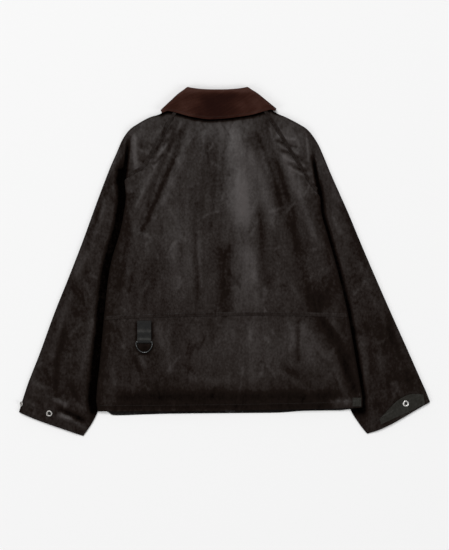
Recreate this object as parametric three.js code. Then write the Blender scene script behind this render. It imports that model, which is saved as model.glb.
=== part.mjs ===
// A short raglan jacket of waxed cotton, laid flat on its front with its back up.
// X runs across the back, Y from the hem to the collar, and Z up from the surface. Sizes are in millimetres.
// Every cloth piece is a thin closed wall: a grid of points on its outer face, and the same grid moved in.

import * as THREE from 'three';

// Thicknesses and gaps
const CLOTH = 1.6;
const CORD_CLOTH = 2.2;
const WEBBING = 1.4;
const SEAM = 0.3;
const RIM_GAP = 0.6;

// Heights of the outer faces above the surface
const BACK_TOP = 11;
const BACK_DOME = 2.2;
const SLEEVE_PRESSED = 3.5;
const SLEEVE_PUFF = 3.4;
const SIDE_LIFT = 3.9;
const COLLAR_LIFT = 2.5;
const NECK_LIFT = 1.4;

// Widths over which the cloth rises, rolls over or levels out
const EDGE_ROLL = 8;
const LIFT_RAMP = 32;
const LIFT_LEAD = 20;
const PUFF_RAMP = 45;
const INNER_FOLD_RAMP = 26;
const UNDERARM_RAMP = { hold: 20, width: 26 };
const LEAF_RAMP = 34;
const LEAF_EDGE_Y = 302;
const NECK_RAMP = { fromY: 318, width: 24 };
const DOME_RAMP = { sides: 120, neckY: 300, neck: 120, hemY: -360, hem: 110 };
const RELIEF_RAMP = { neckY: 302, neck: 36, sides: 28, atSides: 0.15 };

// The side folds of the body, from the hem up to the shoulder point
const SIDES = [
  { y: -331, left: -279, right: 303 },
  { y: -300, left: -282, right: 303 },
  { y: -209, left: -273, right: 288 },
  { y: -103, left: -263, right: 269 },
  { y: -9, left: -251, right: 246 },
  { y: 68, left: -229, right: 224 },
  { y: 103, left: -222, right: 214 },
  { y: 143, left: -217, right: 210 },
  { y: 183, left: -220, right: 203 },
  { y: 222, left: -216, right: 196 },
  { y: 273, left: -211, right: 184 },
];

// The raglan seams, from the underarm to the neck
const RAGLAN_LEFT = [
  { y: 181, x: -217 },
  { y: 191, x: -198 },
  { y: 205, x: -175 },
  { y: 264, x: -141 },
  { y: 323, x: -106 },
  { y: 354, x: -88 },
];
const RAGLAN_RIGHT = [
  { y: 146, x: 207 },
  { y: 163, x: 191 },
  { y: 199, x: 168 },
  { y: 244, x: 139 },
  { y: 325, x: 88 },
  { y: 357, x: 66.6 },
];

// The inner folds of the sleeves, from the cuff to the underarm, hidden under the body but for the last stretch
const SLEEVE_FOLD_LEFT = [
  { y: -384, x: -311 },
  { y: -357, x: -292.5 },
  { y: -330, x: -279 },
  { y: -250, x: -250 },
  { y: -160, x: -228 },
  { y: -60, x: -212 },
  { y: 40, x: -203 },
  { y: 120, x: -206 },
  { y: 168, x: -217 },
  { y: 181, x: -221 },
];
const SLEEVE_FOLD_RIGHT = [
  { y: -379, x: 314 },
  { y: -361, x: 299.5 },
  { y: -327, x: 278 },
  { y: -250, x: 255 },
  { y: -160, x: 238 },
  { y: -60, x: 222 },
  { y: 40, x: 206 },
  { y: 100, x: 201 },
  { y: 134, x: 208 },
  { y: 146, x: 212 },
];

// The sleeves' cross rows, from the neck to the cuff: the height on the inner side, the point on the outer edge,
// and how far the cloth beyond the shoulder fold has dropped to the level of the sleeve
const SLEEVE_ROWS_LEFT = [
  { y: 354, outerX: -104, outerY: 356.3, drop: 0 },
  { y: 323, outerX: -138, outerY: 326.5, drop: 0 },
  { y: 294, outerX: -165, outerY: 317, drop: 0 },
  { y: 264, outerX: -189, outerY: 304, drop: 0 },
  { y: 232, outerX: -210, outerY: 289, drop: 0.1 },
  { y: 207, outerX: -226, outerY: 266, drop: 0.75 },
  { y: 192, outerX: -238, outerY: 238, drop: 1 },
  { y: 181.5, outerX: -250, outerY: 211, drop: 1 },
  { y: 150, outerX: -268, outerY: 165, drop: 1 },
  { y: 105, outerX: -287, outerY: 114, drop: 1 },
  { y: 40, outerX: -312, outerY: 45, drop: 1 },
  { y: -40, outerX: -343, outerY: -35, drop: 1 },
  { y: -130, outerX: -375, outerY: -115, drop: 1 },
  { y: -220, outerX: -407, outerY: -203, drop: 1 },
  { y: -300, outerX: -431, outerY: -264, drop: 1 },
  { y: -345, outerX: -443, outerY: -300, drop: 1 },
  { y: -384, outerX: -452.5, outerY: -331, drop: 1 },
];
const SLEEVE_ROWS_RIGHT = [
  { y: 357, outerX: 75, outerY: 357.8, drop: 0 },
  { y: 325, outerX: 112, outerY: 328, drop: 0 },
  { y: 300, outerX: 136, outerY: 317, drop: 0 },
  { y: 272, outerX: 161, outerY: 304, drop: 0 },
  { y: 240, outerX: 184, outerY: 289, drop: 0.1 },
  { y: 205, outerX: 204, outerY: 262, drop: 0.75 },
  { y: 170, outerX: 218, outerY: 232, drop: 1 },
  { y: 146.5, outerX: 232, outerY: 198, drop: 1 },
  { y: 120, outerX: 251, outerY: 155, drop: 1 },
  { y: 80, outerX: 272, outerY: 108, drop: 1 },
  { y: 20, outerX: 298, outerY: 45, drop: 1 },
  { y: -55, outerX: 331, outerY: -32, drop: 1 },
  { y: -140, outerX: 366, outerY: -112, drop: 1 },
  { y: -225, outerX: 401, outerY: -190, drop: 1 },
  { y: -300, outerX: 431, outerY: -258, drop: 1 },
  { y: -345, outerX: 444, outerY: -287, drop: 1 },
  { y: -379, outerX: 452.5, outerY: -309, drop: 1 },
];

// How far the cuffs' edges bow out past a straight line, and how far up the sleeve that reaches
const CUFF_BOW = { left: 2.2, right: 4.8, reach: 60 };

// The largest folds: a ridge where height is above 0 and a trough where it is below. Each eases in over this many
// of its widths.
const FOLD_END = 2.5;
const FOLDS = [
  { fromX: -90, fromY: 295, toX: -190, toY: 68, height: -2.4, width: 12 },
  { fromX: -112, fromY: 288, toX: -205, toY: 95, height: 1.5, width: 13 },
  { fromX: -66, fromY: 296, toX: -158, toY: 70, height: 1.4, width: 14 },
  { fromX: 33, fromY: 290, toX: 25, toY: 90, height: 1.5, width: 24 },
  { fromX: 25, fromY: 90, toX: 36, toY: -118, height: 1.2, width: 22 },
  { fromX: 62, fromY: 288, toX: 143, toY: 68, height: -2.1, width: 12 },
  { fromX: 143, fromY: 68, toX: 187, toY: -128, height: -1.8, width: 12 },
  { fromX: 92, fromY: 300, toX: 136, toY: 119, height: -1.6, width: 10 },
  { fromX: 112, fromY: 280, toX: 176, toY: 40, height: 1.6, width: 13 },
  { fromX: -64, fromY: 105, toX: -46, toY: -121, height: -0.9, width: 9 },
  { fromX: 165, fromY: -134, toX: 238, toY: -209, height: 1.7, width: 11 },
  { fromX: 238, fromY: -209, toX: 290, toY: -290, height: 1.5, width: 10 },
  { fromX: 207, fromY: -141, toX: 276, toY: -255, height: -1.8, width: 10 },
  { fromX: -200, fromY: -285, toX: 200, toY: -278, height: -1.1, width: 13 },
  { fromX: -240, fromY: 225, toX: -335, toY: -30, height: 1.3, width: 13 },
  { fromX: -300, fromY: -20, toX: -345, toY: -200, height: -1.2, width: 14 },
  { fromX: 332, fromY: -100, toX: 322, toY: -215, height: -1.4, width: 13 },
  { fromX: 240, fromY: 150, toX: 330, toY: -60, height: 1.2, width: 14 },
  { fromX: -370, fromY: -315, toX: -306, toY: -350, height: -2, width: 8 },
  { fromX: -404, fromY: -296, toX: -344, toY: -320, height: 1.4, width: 9 },
];

// The collar: a flattened ring that leans outwards, its fall folded down over its stand
const COLLAR = {
  rollX: -15.4, rollHalf: 61.6, rollY: 377.7, rollCorner: 2,
  fallX: -13, fallHalf: 124,
  stand: 33, ring: 3.8, inner: -2, outer: 3.7,
  frontGap: 0.03, frontShort: 5,
};
// The places along the collar and down its fall that have a point, and the angles round its side folds
const COLLAR_PLACES = {
  front: [COLLAR.frontGap, 0.3, 0.55, 0.75, 0.926, 1],
  back: [-1, -0.926, -0.75, -0.5, -0.25, 0, 0.25, 0.5, 0.75, 0.926, 1],
  fall: [0.3, 0.6, 0.85, 1],
  sideAngles: [-50, -20, 20, 50],
};
const COLLAR_EDGE = [
  { at: -1, y: 326 },
  { at: -0.885, y: 330 },
  { at: -0.467, y: 314.6 },
  { at: -0.107, y: 308.7 },
  { at: 0.549, y: 319 },
  { at: 0.926, y: 333 },
  { at: 1, y: 329 },
];
const COLLAR_LEAN = { left: [-0.674, 0.738], right: [0.644, 0.765] };
const COLLAR_MIDDLE = COLLAR.ring + COLLAR.outer;
const BACK_NECK = { left: -0.82, right: 0.86 };

// The lower edges of the back and the fronts, the cross seam and the centre front
const HEM = { left: -329, right: -321, bow: -2 };
const FRONT_HEM = [
  { x: -272, y: -327 },
  { x: -251, y: -332 },
  { x: -229, y: -338 },
  { x: -185, y: -337 },
  { x: -120, y: -335 },
  { x: 35, y: -333.5 },
  { x: 123, y: -332.5 },
  { x: 170, y: -329 },
  { x: 255, y: -327 },
  { x: 292, y: -322 },
];
const FRONT_ROWS = { count: 12, hemInset: 10, centreBelow: 30, spread: 1.6, hemFade: 8, neckCurve: 3 };
// The row and column of a front's grid at which its yoke and its side panel are sewn on, and its steps across
const FRONT_CUTS = { row: FRONT_ROWS.count + 6, column: 6, across: 12 };
const BELOW_UNDERARM = { body: 3, sleeve: 4 };
const CROSS_SEAM = { left: -129, right: -123, bow: 6 };
const CENTRE_FRONT = { neckX: -15, neckY: 342, hemX: 12, zipHalf: 11, zipTop: 300, zipHem: -331 };

// The webbing loop and its ring
const STRAP = { x: -176, width: 30.2, top: -130, bar: -176, pinch: 10 };
const RING = { width: 38, depth: 25, wire: 2.8, corner: 2.2 };
const FLAT_PATCH = { x: -176, y: -166, halfX: 30, halfY: 46, fade: 26, top: 12.6 };

const STUD = { radius: 7, height: 2.2, level: 11, fade: 22 };
const STUD_PROFILE = [[0, 0], [0.86, 0], [1, 0.3], [0.98, 0.62], [0.8, 1], [0.55, 0.95], [0.4, 0.5], [0, 0.42]];
const STUDS = [
  { name: 'snap_cuff_left', x: -385, y: -334, tilt: 0 },
  { name: 'snap_edge_left', x: -445.9, y: -313, tilt: 52, rise: 6.6, radius: 5.5 },
  { name: 'snap_cuff_right', x: 398, y: -312, tilt: 0 },
];

const MATERIALS = {
  wax: new THREE.MeshStandardMaterial({ color: 0x2a2523, roughness: 0.5, metalness: 0 }),
  cord: new THREE.MeshStandardMaterial({ color: 0x3a1c14, roughness: 0.9, metalness: 0 }),
  tab: new THREE.MeshStandardMaterial({ color: 0x34362e, roughness: 0.6, metalness: 0 }),
  webbing: new THREE.MeshStandardMaterial({ color: 0x26221e, roughness: 0.8, metalness: 0 }),
  nickel: new THREE.MeshStandardMaterial({ color: 0xc9c6c0, roughness: 0.3, metalness: 1 }),
  gunmetal: new THREE.MeshStandardMaterial({ color: 0x3a3a3c, roughness: 0.4, metalness: 1 }),
};

const jacket = new THREE.Group();

// Small helpers

const mix = (a, b, t) => a + (b - a) * t;
const clamp = (value) => Math.min(1, Math.max(0, value));
const ease = (value) => clamp(value) ** 2 * (3 - 2 * clamp(value));
const steps = (count) => Array.from({ length: count + 1 }, (_, i) => i / count);

// The numbers of steps along and across the grids
const STEPS = {
  backLower: 9, backUpper: 13, zip: 10, collarTurn: 5,
  sleeve: 13, sleeveHidden: 3, shoulderFold: 6, sleeveShown: 8, crossing: 200,
  under: 10, underAcross: 6, cuffTab: 12, cuffTabAcross: 4, hemTab: 5,
  stud: 16, ring: 36, wire: 8, strapLow: 5, strapTurn: 10, strapPinch: 6, strapHigh: 4, strapAcross: 2,
};

// A smooth curve through a table's rows: the column `want` where the column `by` is `at`, held level past the ends.
function curve(table, by, want, at) {
  const rows = table[0][by] < table.at(-1)[by] ? table : [...table].reverse();
  const last = rows.length - 1;
  if (at <= rows[0][by]) return rows[0][want];
  if (at >= rows[last][by]) return rows[last][want];
  const k = rows.findIndex((row) => row[by] > at) - 1;
  const slope = (i) => {
    const low = rows[Math.max(0, i - 1)];
    const high = rows[Math.min(last, i + 1)];
    return (high[want] - low[want]) / (high[by] - low[by]);
  };
  const span = rows[k + 1][by] - rows[k][by];
  const t = (at - rows[k][by]) / span;
  const value = mix(rows[k][want], rows[k + 1][want], t * t * (3 - 2 * t));
  return value + span * t * (1 - t) * (slope(k) * (1 - t) - slope(k + 1) * t);
}

function addMesh(name, positions, triangles, material) {
  const geometry = new THREE.BufferGeometry();
  geometry.setAttribute('position', new THREE.Float32BufferAttribute(positions, 3));
  let volume = 0;
  const corner = (i) => new THREE.Vector3().fromArray(positions, 3 * i);
  for (let i = 0; i < triangles.length; i += 3) {
    volume += corner(triangles[i]).dot(corner(triangles[i + 1]).cross(corner(triangles[i + 2])));
  }
  geometry.setIndex(volume > 0 ? triangles : [...triangles].reverse());
  geometry.computeVertexNormals();
  const mesh = new THREE.Mesh(geometry, material);
  mesh.name = name;
  jacket.add(mesh);
}

// The normal at each point of a grid, from its neighbours along both ways, turned to the side that `up` names.
function gridNormals(grid, up) {
  const at = (i, j) => grid[Math.min(grid.length - 1, Math.max(0, i))][Math.min(grid[0].length - 1, Math.max(0, j))];
  const normals = grid.map((row, i) => row.map((_, j) => {
    const along = at(i + 1, j).clone().sub(at(i - 1, j));
    const across = at(i, j + 1).clone().sub(at(i, j - 1));
    return across.cross(along).normalize();
  }));
  const lean = normals.flat().reduce((sum, normal) => sum + normal.z, 0);
  const sign = Math.sign(lean) * up;
  return normals.map((row) => row.map((normal) => normal.multiplyScalar(sign)));
}

// A closed wall between two grids of the same size: both faces, and a band round the rim.
function addShell(name, outer, inner, material) {
  const count = outer[0].length;
  const positions = [...outer.flat(), ...inner.flat()].flatMap((point) => point.toArray());
  const offset = outer.length * count;
  const triangles = [];
  const quad = (a, b, c, d) => triangles.push(a, b, c, a, c, d);
  for (let i = 0; i < outer.length - 1; i += 1) {
    for (let j = 0; j < count - 1; j += 1) {
      const a = i * count + j;
      quad(a, a + 1, a + count + 1, a + count);
      quad(offset + a, offset + a + count, offset + a + count + 1, offset + a + 1);
    }
  }
  const rim = [];
  for (let j = 0; j < count - 1; j += 1) rim.push(j);
  for (let i = 0; i < outer.length - 1; i += 1) rim.push(i * count + count - 1);
  for (let j = count - 1; j > 0; j -= 1) rim.push((outer.length - 1) * count + j);
  for (let i = outer.length - 1; i > 0; i -= 1) rim.push(i * count);
  rim.forEach((from, k) => {
    const to = rim[(k + 1) % rim.length];
    quad(to, from, offset + from, offset + to);
  });
  addMesh(name, positions, triangles, material);
}

// A wall whose outer face is the grid, moved in along its normals by its thickness.
function addWall(name, grid, thickness, material) {
  const normals = gridNormals(grid, 1);
  const inner = grid.map((row, i) => row.map((point, j) => (
    point.clone().addScaledVector(normals[i][j], -thickness))));
  addShell(name, grid, inner, material);
}

// A wall that lies on the surface: the grid is its underside.
function addFloorWall(name, grid, material) {
  const upper = grid.map((row) => row.map((point) => new THREE.Vector3(point.x, point.y, point.z + CLOTH)));
  addShell(name, grid, upper, material);
}

// Heights

const sideX = (side, y) => curve(SIDES, 'y', side, y);
const underarmY = (side) => (side === 'left' ? RAGLAN_LEFT : RAGLAN_RIGHT)[0].y;
const raglanX = (side, y) => curve(side === 'left' ? RAGLAN_LEFT : RAGLAN_RIGHT, 'y', 'x', y);
const sleeveFoldX = (side, y) => curve(side === 'left' ? SLEEVE_FOLD_LEFT : SLEEVE_FOLD_RIGHT, 'y', 'x', y);
const outward = (side) => (side === 'left' ? -1 : 1);

// The heights along a raglan seam at which all four panels have a point, from the underarm to the neck.
const SEAM_STEPS = 9;
const SEAM_SPREAD = 1.4;
const CORNER = { gap: 0.48, reach: 14, room: 1.9, inset: 2.5 };
function seamHeights(side) {
  const top = neckPoint(BACK_NECK[side]).y;
  return steps(SEAM_STEPS).map((t) => mix(underarmY(side), top, t ** SEAM_SPREAD));
}

// The sum of the folds at a point: each is a soft bell across its line that dies away at both ends.
function folds(x, y) {
  return FOLDS.reduce((sum, fold) => {
    const runX = fold.toX - fold.fromX;
    const runY = fold.toY - fold.fromY;
    const length = Math.hypot(runX, runY);
    const along = ((x - fold.fromX) * runX + (y - fold.fromY) * runY) / length;
    const across = ((x - fold.fromX) * runY - (y - fold.fromY) * runX) / length;
    const end = FOLD_END * fold.width;
    const ends = ease((along + fold.width) / end) * ease((length - along + fold.width) / end);
    return sum + fold.height * ends * Math.exp(-((across / fold.width) ** 2));
  }, 0);
}

// The share of the level patch under the webbing loop and its ring.
function patchShare(x, y) {
  const pastX = Math.max(0, Math.abs(x - FLAT_PATCH.x) - FLAT_PATCH.halfX);
  const pastY = Math.max(0, Math.abs(y - FLAT_PATCH.y) - FLAT_PATCH.halfY);
  return 1 - ease(Math.hypot(pastX, pastY) / FLAT_PATCH.fade);
}

// The outer face of the back, without its rolled sides: level at the neck, gently domed, with the folds on it.
function backHeight(x, y) {
  const reach = Math.min(x - sideX('left', y), sideX('right', y) - x);
  const domeEnds = ease((DOME_RAMP.neckY - y) / DOME_RAMP.neck) * ease((y - DOME_RAMP.hemY) / DOME_RAMP.hem);
  const dome = BACK_DOME * ease(reach / DOME_RAMP.sides) * domeEnds;
  const beside = ease(reach / RELIEF_RAMP.sides + RELIEF_RAMP.atSides);
  const shown = ease((RELIEF_RAMP.neckY - y) / RELIEF_RAMP.neck) * beside;
  const free = BACK_TOP + dome + folds(x, y) * shown;
  return mix(free, FLAT_PATCH.top, patchShare(x, y));
}

// The lift of what lies lowest: over the collar's front leaves, and higher again at the neck seam.
function lowHeight(y) {
  const overLeaf = COLLAR_LIFT * ease((y - LEAF_EDGE_Y + LEAF_RAMP) / LEAF_RAMP);
  return overLeaf + NECK_LIFT * ease((y - NECK_RAMP.fromY) / NECK_RAMP.width);
}

// The underside of the fronts: on the surface, lifted over the sleeves at the sides.
function frontHeight(x, y) {
  const lift = Math.max(...['left', 'right'].map((side) => {
    const start = sleeveFoldX(side, Math.min(y, underarmY(side) - UNDERARM_RAMP.hold));
    const share = ease(((x - start) * outward(side) + LIFT_RAMP + LIFT_LEAD) / LIFT_RAMP);
    return share * ease((underarmY(side) + UNDERARM_RAMP.width - y) / UNDERARM_RAMP.width);
  }));
  return Math.max(lowHeight(y), SIDE_LIFT * lift);
}

// The outer face of a sleeve: pressed flat under the body, puffed beyond it.
function sleeveHeight(side, x, y) {
  const fromBody = (x - sideX(side, y)) * outward(side);
  const fromFold = (x - sleeveFoldX(side, y)) * outward(side);
  const puff = ease(fromBody / PUFF_RAMP) * ease(fromFold / INNER_FOLD_RAMP + (y > underarmY(side) ? 1 : 0));
  const studs = STUDS.reduce((share, stud) => (
    share * ease((Math.hypot(x - stud.x, y - stud.y) - STUD.level) / STUD.fade)), 1);
  return SLEEVE_PRESSED + (SLEEVE_PUFF + folds(x, y) * studs) * puff + lowHeight(y);
}

// How far a point has rolled over an edge: a quarter ellipse, 0 at the edge and 1 at the roll's width.
const roll = (distance, width = EDGE_ROLL) => Math.sqrt(1 - (1 - clamp(distance / width)) ** 2);

// Collar

// A point of the collar: `down` the line from the roll to the edge, then `out` from the ring at the angle `turn`.
function collarPoint(at, down, out, turn) {
  const side = at < 0 ? 'left' : 'right';
  const rollX = COLLAR.rollX + COLLAR.rollHalf * at;
  const rollY = COLLAR.rollY + COLLAR.rollCorner * at * at;
  const fallX = COLLAR.fallX + COLLAR.fallHalf * at;
  const fallY = curve(COLLAR_EDGE, 'at', 'y', at);
  const length = Math.hypot(fallX - rollX, fallY - rollY);
  const x = mix(rollX, fallX, down / length);
  const y = mix(rollY, fallY, down / length);
  const reach = COLLAR.ring + out;
  const [leanX, leanY] = COLLAR_LEAN[side];
  const spread = reach * Math.cos(turn);
  return new THREE.Vector3(x + leanX * spread, y + leanY * spread, COLLAR_MIDDLE + reach * Math.sin(turn));
}

const collarLength = (at) => {
  const from = collarPoint(at, 0, 0, Math.PI / 2);
  const fallX = COLLAR.fallX + COLLAR.fallHalf * at;
  return Math.hypot(fallX - from.x, curve(COLLAR_EDGE, 'at', 'y', at) - from.y);
};

// Where the cloth meets the lower edge of the stand.
function neckPoint(at) {
  return collarPoint(at, COLLAR.stand + 2 * SEAM, 0, Math.PI / 2);
}

// The collar's section is a U on its side: the stand, the roll at the top and the fall. Each of its points is
// how far down from the roll line it lies, and how far out from the ring.
function collarSection(out, fallLength) {
  const middle = (COLLAR.outer + COLLAR.inner) / 2;
  const bend = (COLLAR.outer - COLLAR.inner) / 2;
  const radius = out > 0 ? bend : bend - CORD_CLOTH;
  const stand = [COLLAR.stand, COLLAR.stand / 2].map((down) => ({ down, out: middle - radius }));
  const turn = steps(STEPS.collarTurn).map((t) => ({
    down: bend - radius * Math.sin(Math.PI * t),
    out: middle - radius * Math.cos(Math.PI * t),
  }));
  const fall = COLLAR_PLACES.fall.map((t) => ({ down: mix(bend, fallLength, t), out: middle + radius }));
  return [...stand, ...turn, ...fall];
}

function addCollar() {
  const place = (at, angle) => ({
    at, turn: THREE.MathUtils.degToRad(angle), short: mix(COLLAR.frontShort, 0, (angle + 90) / 180) });
  const { front, back, sideAngles } = COLLAR_PLACES;
  const around = [
    ...front.map((at) => place(-at, -90)),
    ...sideAngles.map((angle) => place(-1, angle)),
    ...back.map((at) => place(at, 90)),
    ...[...sideAngles].reverse().map((angle) => place(1, angle)),
    ...[...front].reverse().map((at) => place(at, -90)),
  ];
  const faces = [1, -1].map((out) => around.map(({ at, turn, short }) => (
    collarSection(out, collarLength(at) - short).map((point) => collarPoint(at, point.down, point.out, turn)))));
  addShell('collar', faces[0], faces[1], MATERIALS.cord);
}

// Back

// The distances from an edge at which the columns stand, close together where the cloth rolls over.
const ROLL_COLUMNS = [0, 0.25, 1, 2.4, 4.8, EDGE_ROLL];
const BACK_COLUMNS = 24;

// One row of the back between two points on its edges, with its middle moved along Y by the bow.
function backRow(left, right, bow, rolled, neck) {
  const width = right.x - left.x;
  const edge = ROLL_COLUMNS.map((distance) => distance / width);
  const inner = steps(BACK_COLUMNS).slice(1, -1).map((t) => mix(edge.at(-1), 1 - edge.at(-1), t));
  const shares = [...edge, ...inner, ...edge.map((t) => 1 - t).reverse()];
  return shares.map((t) => {
    const top = neckPoint(mix(BACK_NECK.left, BACK_NECK.right, t));
    const straightTop = mix(neckPoint(BACK_NECK.left).y, neckPoint(BACK_NECK.right).y, t);
    const x = mix(left.x, right.x, t);
    const y = mix(left.y, right.y, t) + bow * 4 * t * (1 - t) + neck * (top.y - straightTop);
    const rim = frontHeight(x, y) + CLOTH + RIM_GAP;
    const over = mix(1, roll(Math.min(t, 1 - t) * width), rolled);
    return new THREE.Vector3(x, y, mix(rim, backHeight(x, y), over));
  });
}

function addBack() {
  const lower = steps(STEPS.backLower).map((t) => {
    const leftY = mix(HEM.left, CROSS_SEAM.left - SEAM, t);
    const rightY = mix(HEM.right, CROSS_SEAM.right - SEAM, t);
    const left = { x: sideX('left', leftY), y: leftY };
    const right = { x: sideX('right', rightY), y: rightY };
    return backRow(left, right, mix(HEM.bow, CROSS_SEAM.bow, t), 1, 0);
  });
  addWall('back_lower', lower, CLOTH, MATERIALS.wax);

  const body = steps(STEPS.backUpper).map((t) => {
    const leftY = mix(CROSS_SEAM.left, underarmY('left') - BELOW_UNDERARM.body, t);
    const rightY = mix(CROSS_SEAM.right, underarmY('right') - BELOW_UNDERARM.body, t);
    const inset = t === 1 ? CORNER.inset : 0;
    const left = { x: sideX('left', leftY) + inset, y: leftY };
    const right = { x: sideX('right', rightY) - inset, y: rightY };
    return backRow(left, right, mix(CROSS_SEAM.bow, 0, t), 1, 0);
  });
  const rightHeights = seamHeights('right');
  const yoke = seamHeights('left').map((leftY, k) => {
    const left = { x: raglanX('left', leftY), y: leftY };
    const right = { x: raglanX('right', rightHeights[k]), y: rightHeights[k] };
    return backRow(left, right, 0, 0, ease(k / SEAM_STEPS));
  });
  addWall('back_upper', [...body, ...yoke], CLOTH, MATERIALS.wax);
}

// Fronts, on the surface

function centreX(y) {
  const share = (y - HEM.left) / (CENTRE_FRONT.neckY - HEM.left);
  return mix(CENTRE_FRONT.hemX, CENTRE_FRONT.neckX, share);
}

// The rows of a front, each from the centre line to the side: straight up to the underarm, then along the raglan
// seam. `neck` is how far a row has taken on the curve of the neck, and `hem` how far it still follows the hem's.
function frontRows(side) {
  const { count, hemInset, centreBelow, hemFade } = FRONT_ROWS;
  const under = underarmY(side);
  const bodyTop = under - BELOW_UNDERARM.body;
  const neckTop = neckPoint(BACK_NECK[side]).y;
  const body = steps(count).map((t, k) => ({
    outer: mix(HEM[side], bodyTop, t),
    inner: mix(HEM[side], bodyTop - centreBelow, t),
    inset: (k === 0 ? hemInset : 0) + (k === count ? CORNER.inset : 0),
    edgeX: sideX,
    neck: 0,
    hem: (1 - t) ** hemFade,
  }));
  const yoke = seamHeights(side).map((outer, k) => ({
    outer,
    inner: mix(under - centreBelow, neckTop, k / SEAM_STEPS),
    inset: k === 0 ? CORNER.inset : 0,
    edgeX: raglanX,
    neck: k / SEAM_STEPS,
    hem: 0,
  }));
  return [...body, ...yoke];
}

// Each front is cut in three: a panel that lies flat on the surface, a side panel that rises over the sleeve's
// fold, and a yoke that rises over the collar's leaf.
function addFronts() {
  ['left', 'right'].forEach((side) => {
    const top = neckPoint(BACK_NECK[side]);
    const { row, column, across } = FRONT_CUTS;
    const rows = frontRows(side).map(({ outer, inner, inset, edgeX, neck, hem }) => {
      const dropped = (x) => hem * (curve(FRONT_HEM, 'x', 'y', x) - HEM[side]);
      const start = centreX(inner + dropped(CENTRE_FRONT.hemX)) + outward(side) * SEAM / 2;
      const end = edgeX(side, outer) - outward(side) * (SEAM + inset);
      return steps(across).map((t) => {
        const spread = 1 - (1 - t) ** FRONT_ROWS.spread;
        const x = mix(start, end, spread);
        const curved = neckPoint(mix(0, BACK_NECK[side], spread)).y - top.y;
        const y = mix(inner, outer, spread) + neck ** FRONT_ROWS.neckCurve * curved + dropped(x);
        return new THREE.Vector3(x, y, frontHeight(x, y));
      });
    });
    const below = rows.slice(0, row + 1);
    const beside = below.map((line) => line.slice(column).map((point, j) => (
      new THREE.Vector3(point.x + (j === 0 ? outward(side) * SEAM : 0), point.y, point.z))));
    const yoke = rows.slice(row).map((line, i) => line.map((point) => (
      new THREE.Vector3(point.x, point.y + (i === 0 ? SEAM : 0), point.z))));
    addFloorWall(`front_${side}`, below.map((line) => line.slice(0, column + 1)), MATERIALS.wax);
    addFloorWall(`front_side_${side}`, beside, MATERIALS.wax);
    addFloorWall(`front_yoke_${side}`, yoke, MATERIALS.wax);
  });
  const zip = steps(STEPS.zip).map((t) => {
    const y = mix(CENTRE_FRONT.zipHem, CENTRE_FRONT.zipTop, t);
    return [-1, 1].map((edge) => (
      new THREE.Vector3(centreX(y) + edge * CENTRE_FRONT.zipHalf, y, lowHeight(y) + CLOTH + SEAM)));
  });
  addFloorWall('front_zip', zip, MATERIALS.webbing);
}

// Sleeves

// Where a sleeve's row crosses the shoulder fold or the side of the body, as a share of the row.
function foldShare(side, inner, outer) {
  const inside = (t) => {
    const x = mix(inner.x, outer.x, t);
    return (x - sideX(side, mix(inner.y, outer.y, t))) * outward(side) < 0;
  };
  const crossed = steps(STEPS.crossing).find((t) => !inside(t));
  return crossed ?? 1;
}

const PLEAT = { width: 3.2, tuck: 2.4, widest: 0.04, folded: 0.2 };
const ROLL_WIDEST = 0.4;
const SLEEVE_SPREAD = 1.1;
const BOW_PEAK = 27 / 4;

const sleeveTable = (side) => (side === 'left' ? SLEEVE_ROWS_LEFT : SLEEVE_ROWS_RIGHT);

// The heights of a sleeve's rows on its inner side: the raglan seam's own, and then down to the cuff.
function sleeveHeights(side, count) {
  const top = underarmY(side) - BELOW_UNDERARM.sleeve;
  const below = steps(count).map((t) => mix(top, sleeveTable(side).at(-1).y, t ** SLEEVE_SPREAD));
  return [...seamHeights(side).reverse(), ...below];
}

// The two ends of a sleeve's row, how far it has dropped, and whether it is above the underarm.
function sleeveRow(side, innerY) {
  const value = (want) => curve(sleeveTable(side), 'y', want, innerY);
  const above = innerY >= underarmY(side);
  const corner = CORNER.room * ease((underarmY(side) + CORNER.reach - innerY) / CORNER.reach);
  const room = CORNER.gap + corner;
  const edgeX = above ? raglanX(side, innerY) + outward(side) * room : sleeveFoldX(side, innerY);
  const inner = { x: edgeX, y: innerY };
  const outer = { x: value('outerX'), y: value('outerY') };
  return { inner, outer, drop: clamp(value('drop')), above };
}

// The point at the share t of a sleeve's row, which bows out where it nears the cuff's edge.
function sleevePoint(side, inner, outer, t) {
  const near = 1 - ease((inner.y - sleeveTable(side).at(-1).y) / CUFF_BOW.reach);
  const share = side === 'left' ? 1 - t : t;
  const bow = CUFF_BOW[side] * near * BOW_PEAK * share * (1 - share) ** 2;
  const away = (outward(side) * bow) / Math.hypot(outer.x - inner.x, outer.y - inner.y);
  return {
    x: mix(inner.x, outer.x, t) + away * (outer.y - inner.y),
    y: mix(inner.y, outer.y, t) - away * (outer.x - inner.x),
  };
}

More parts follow.
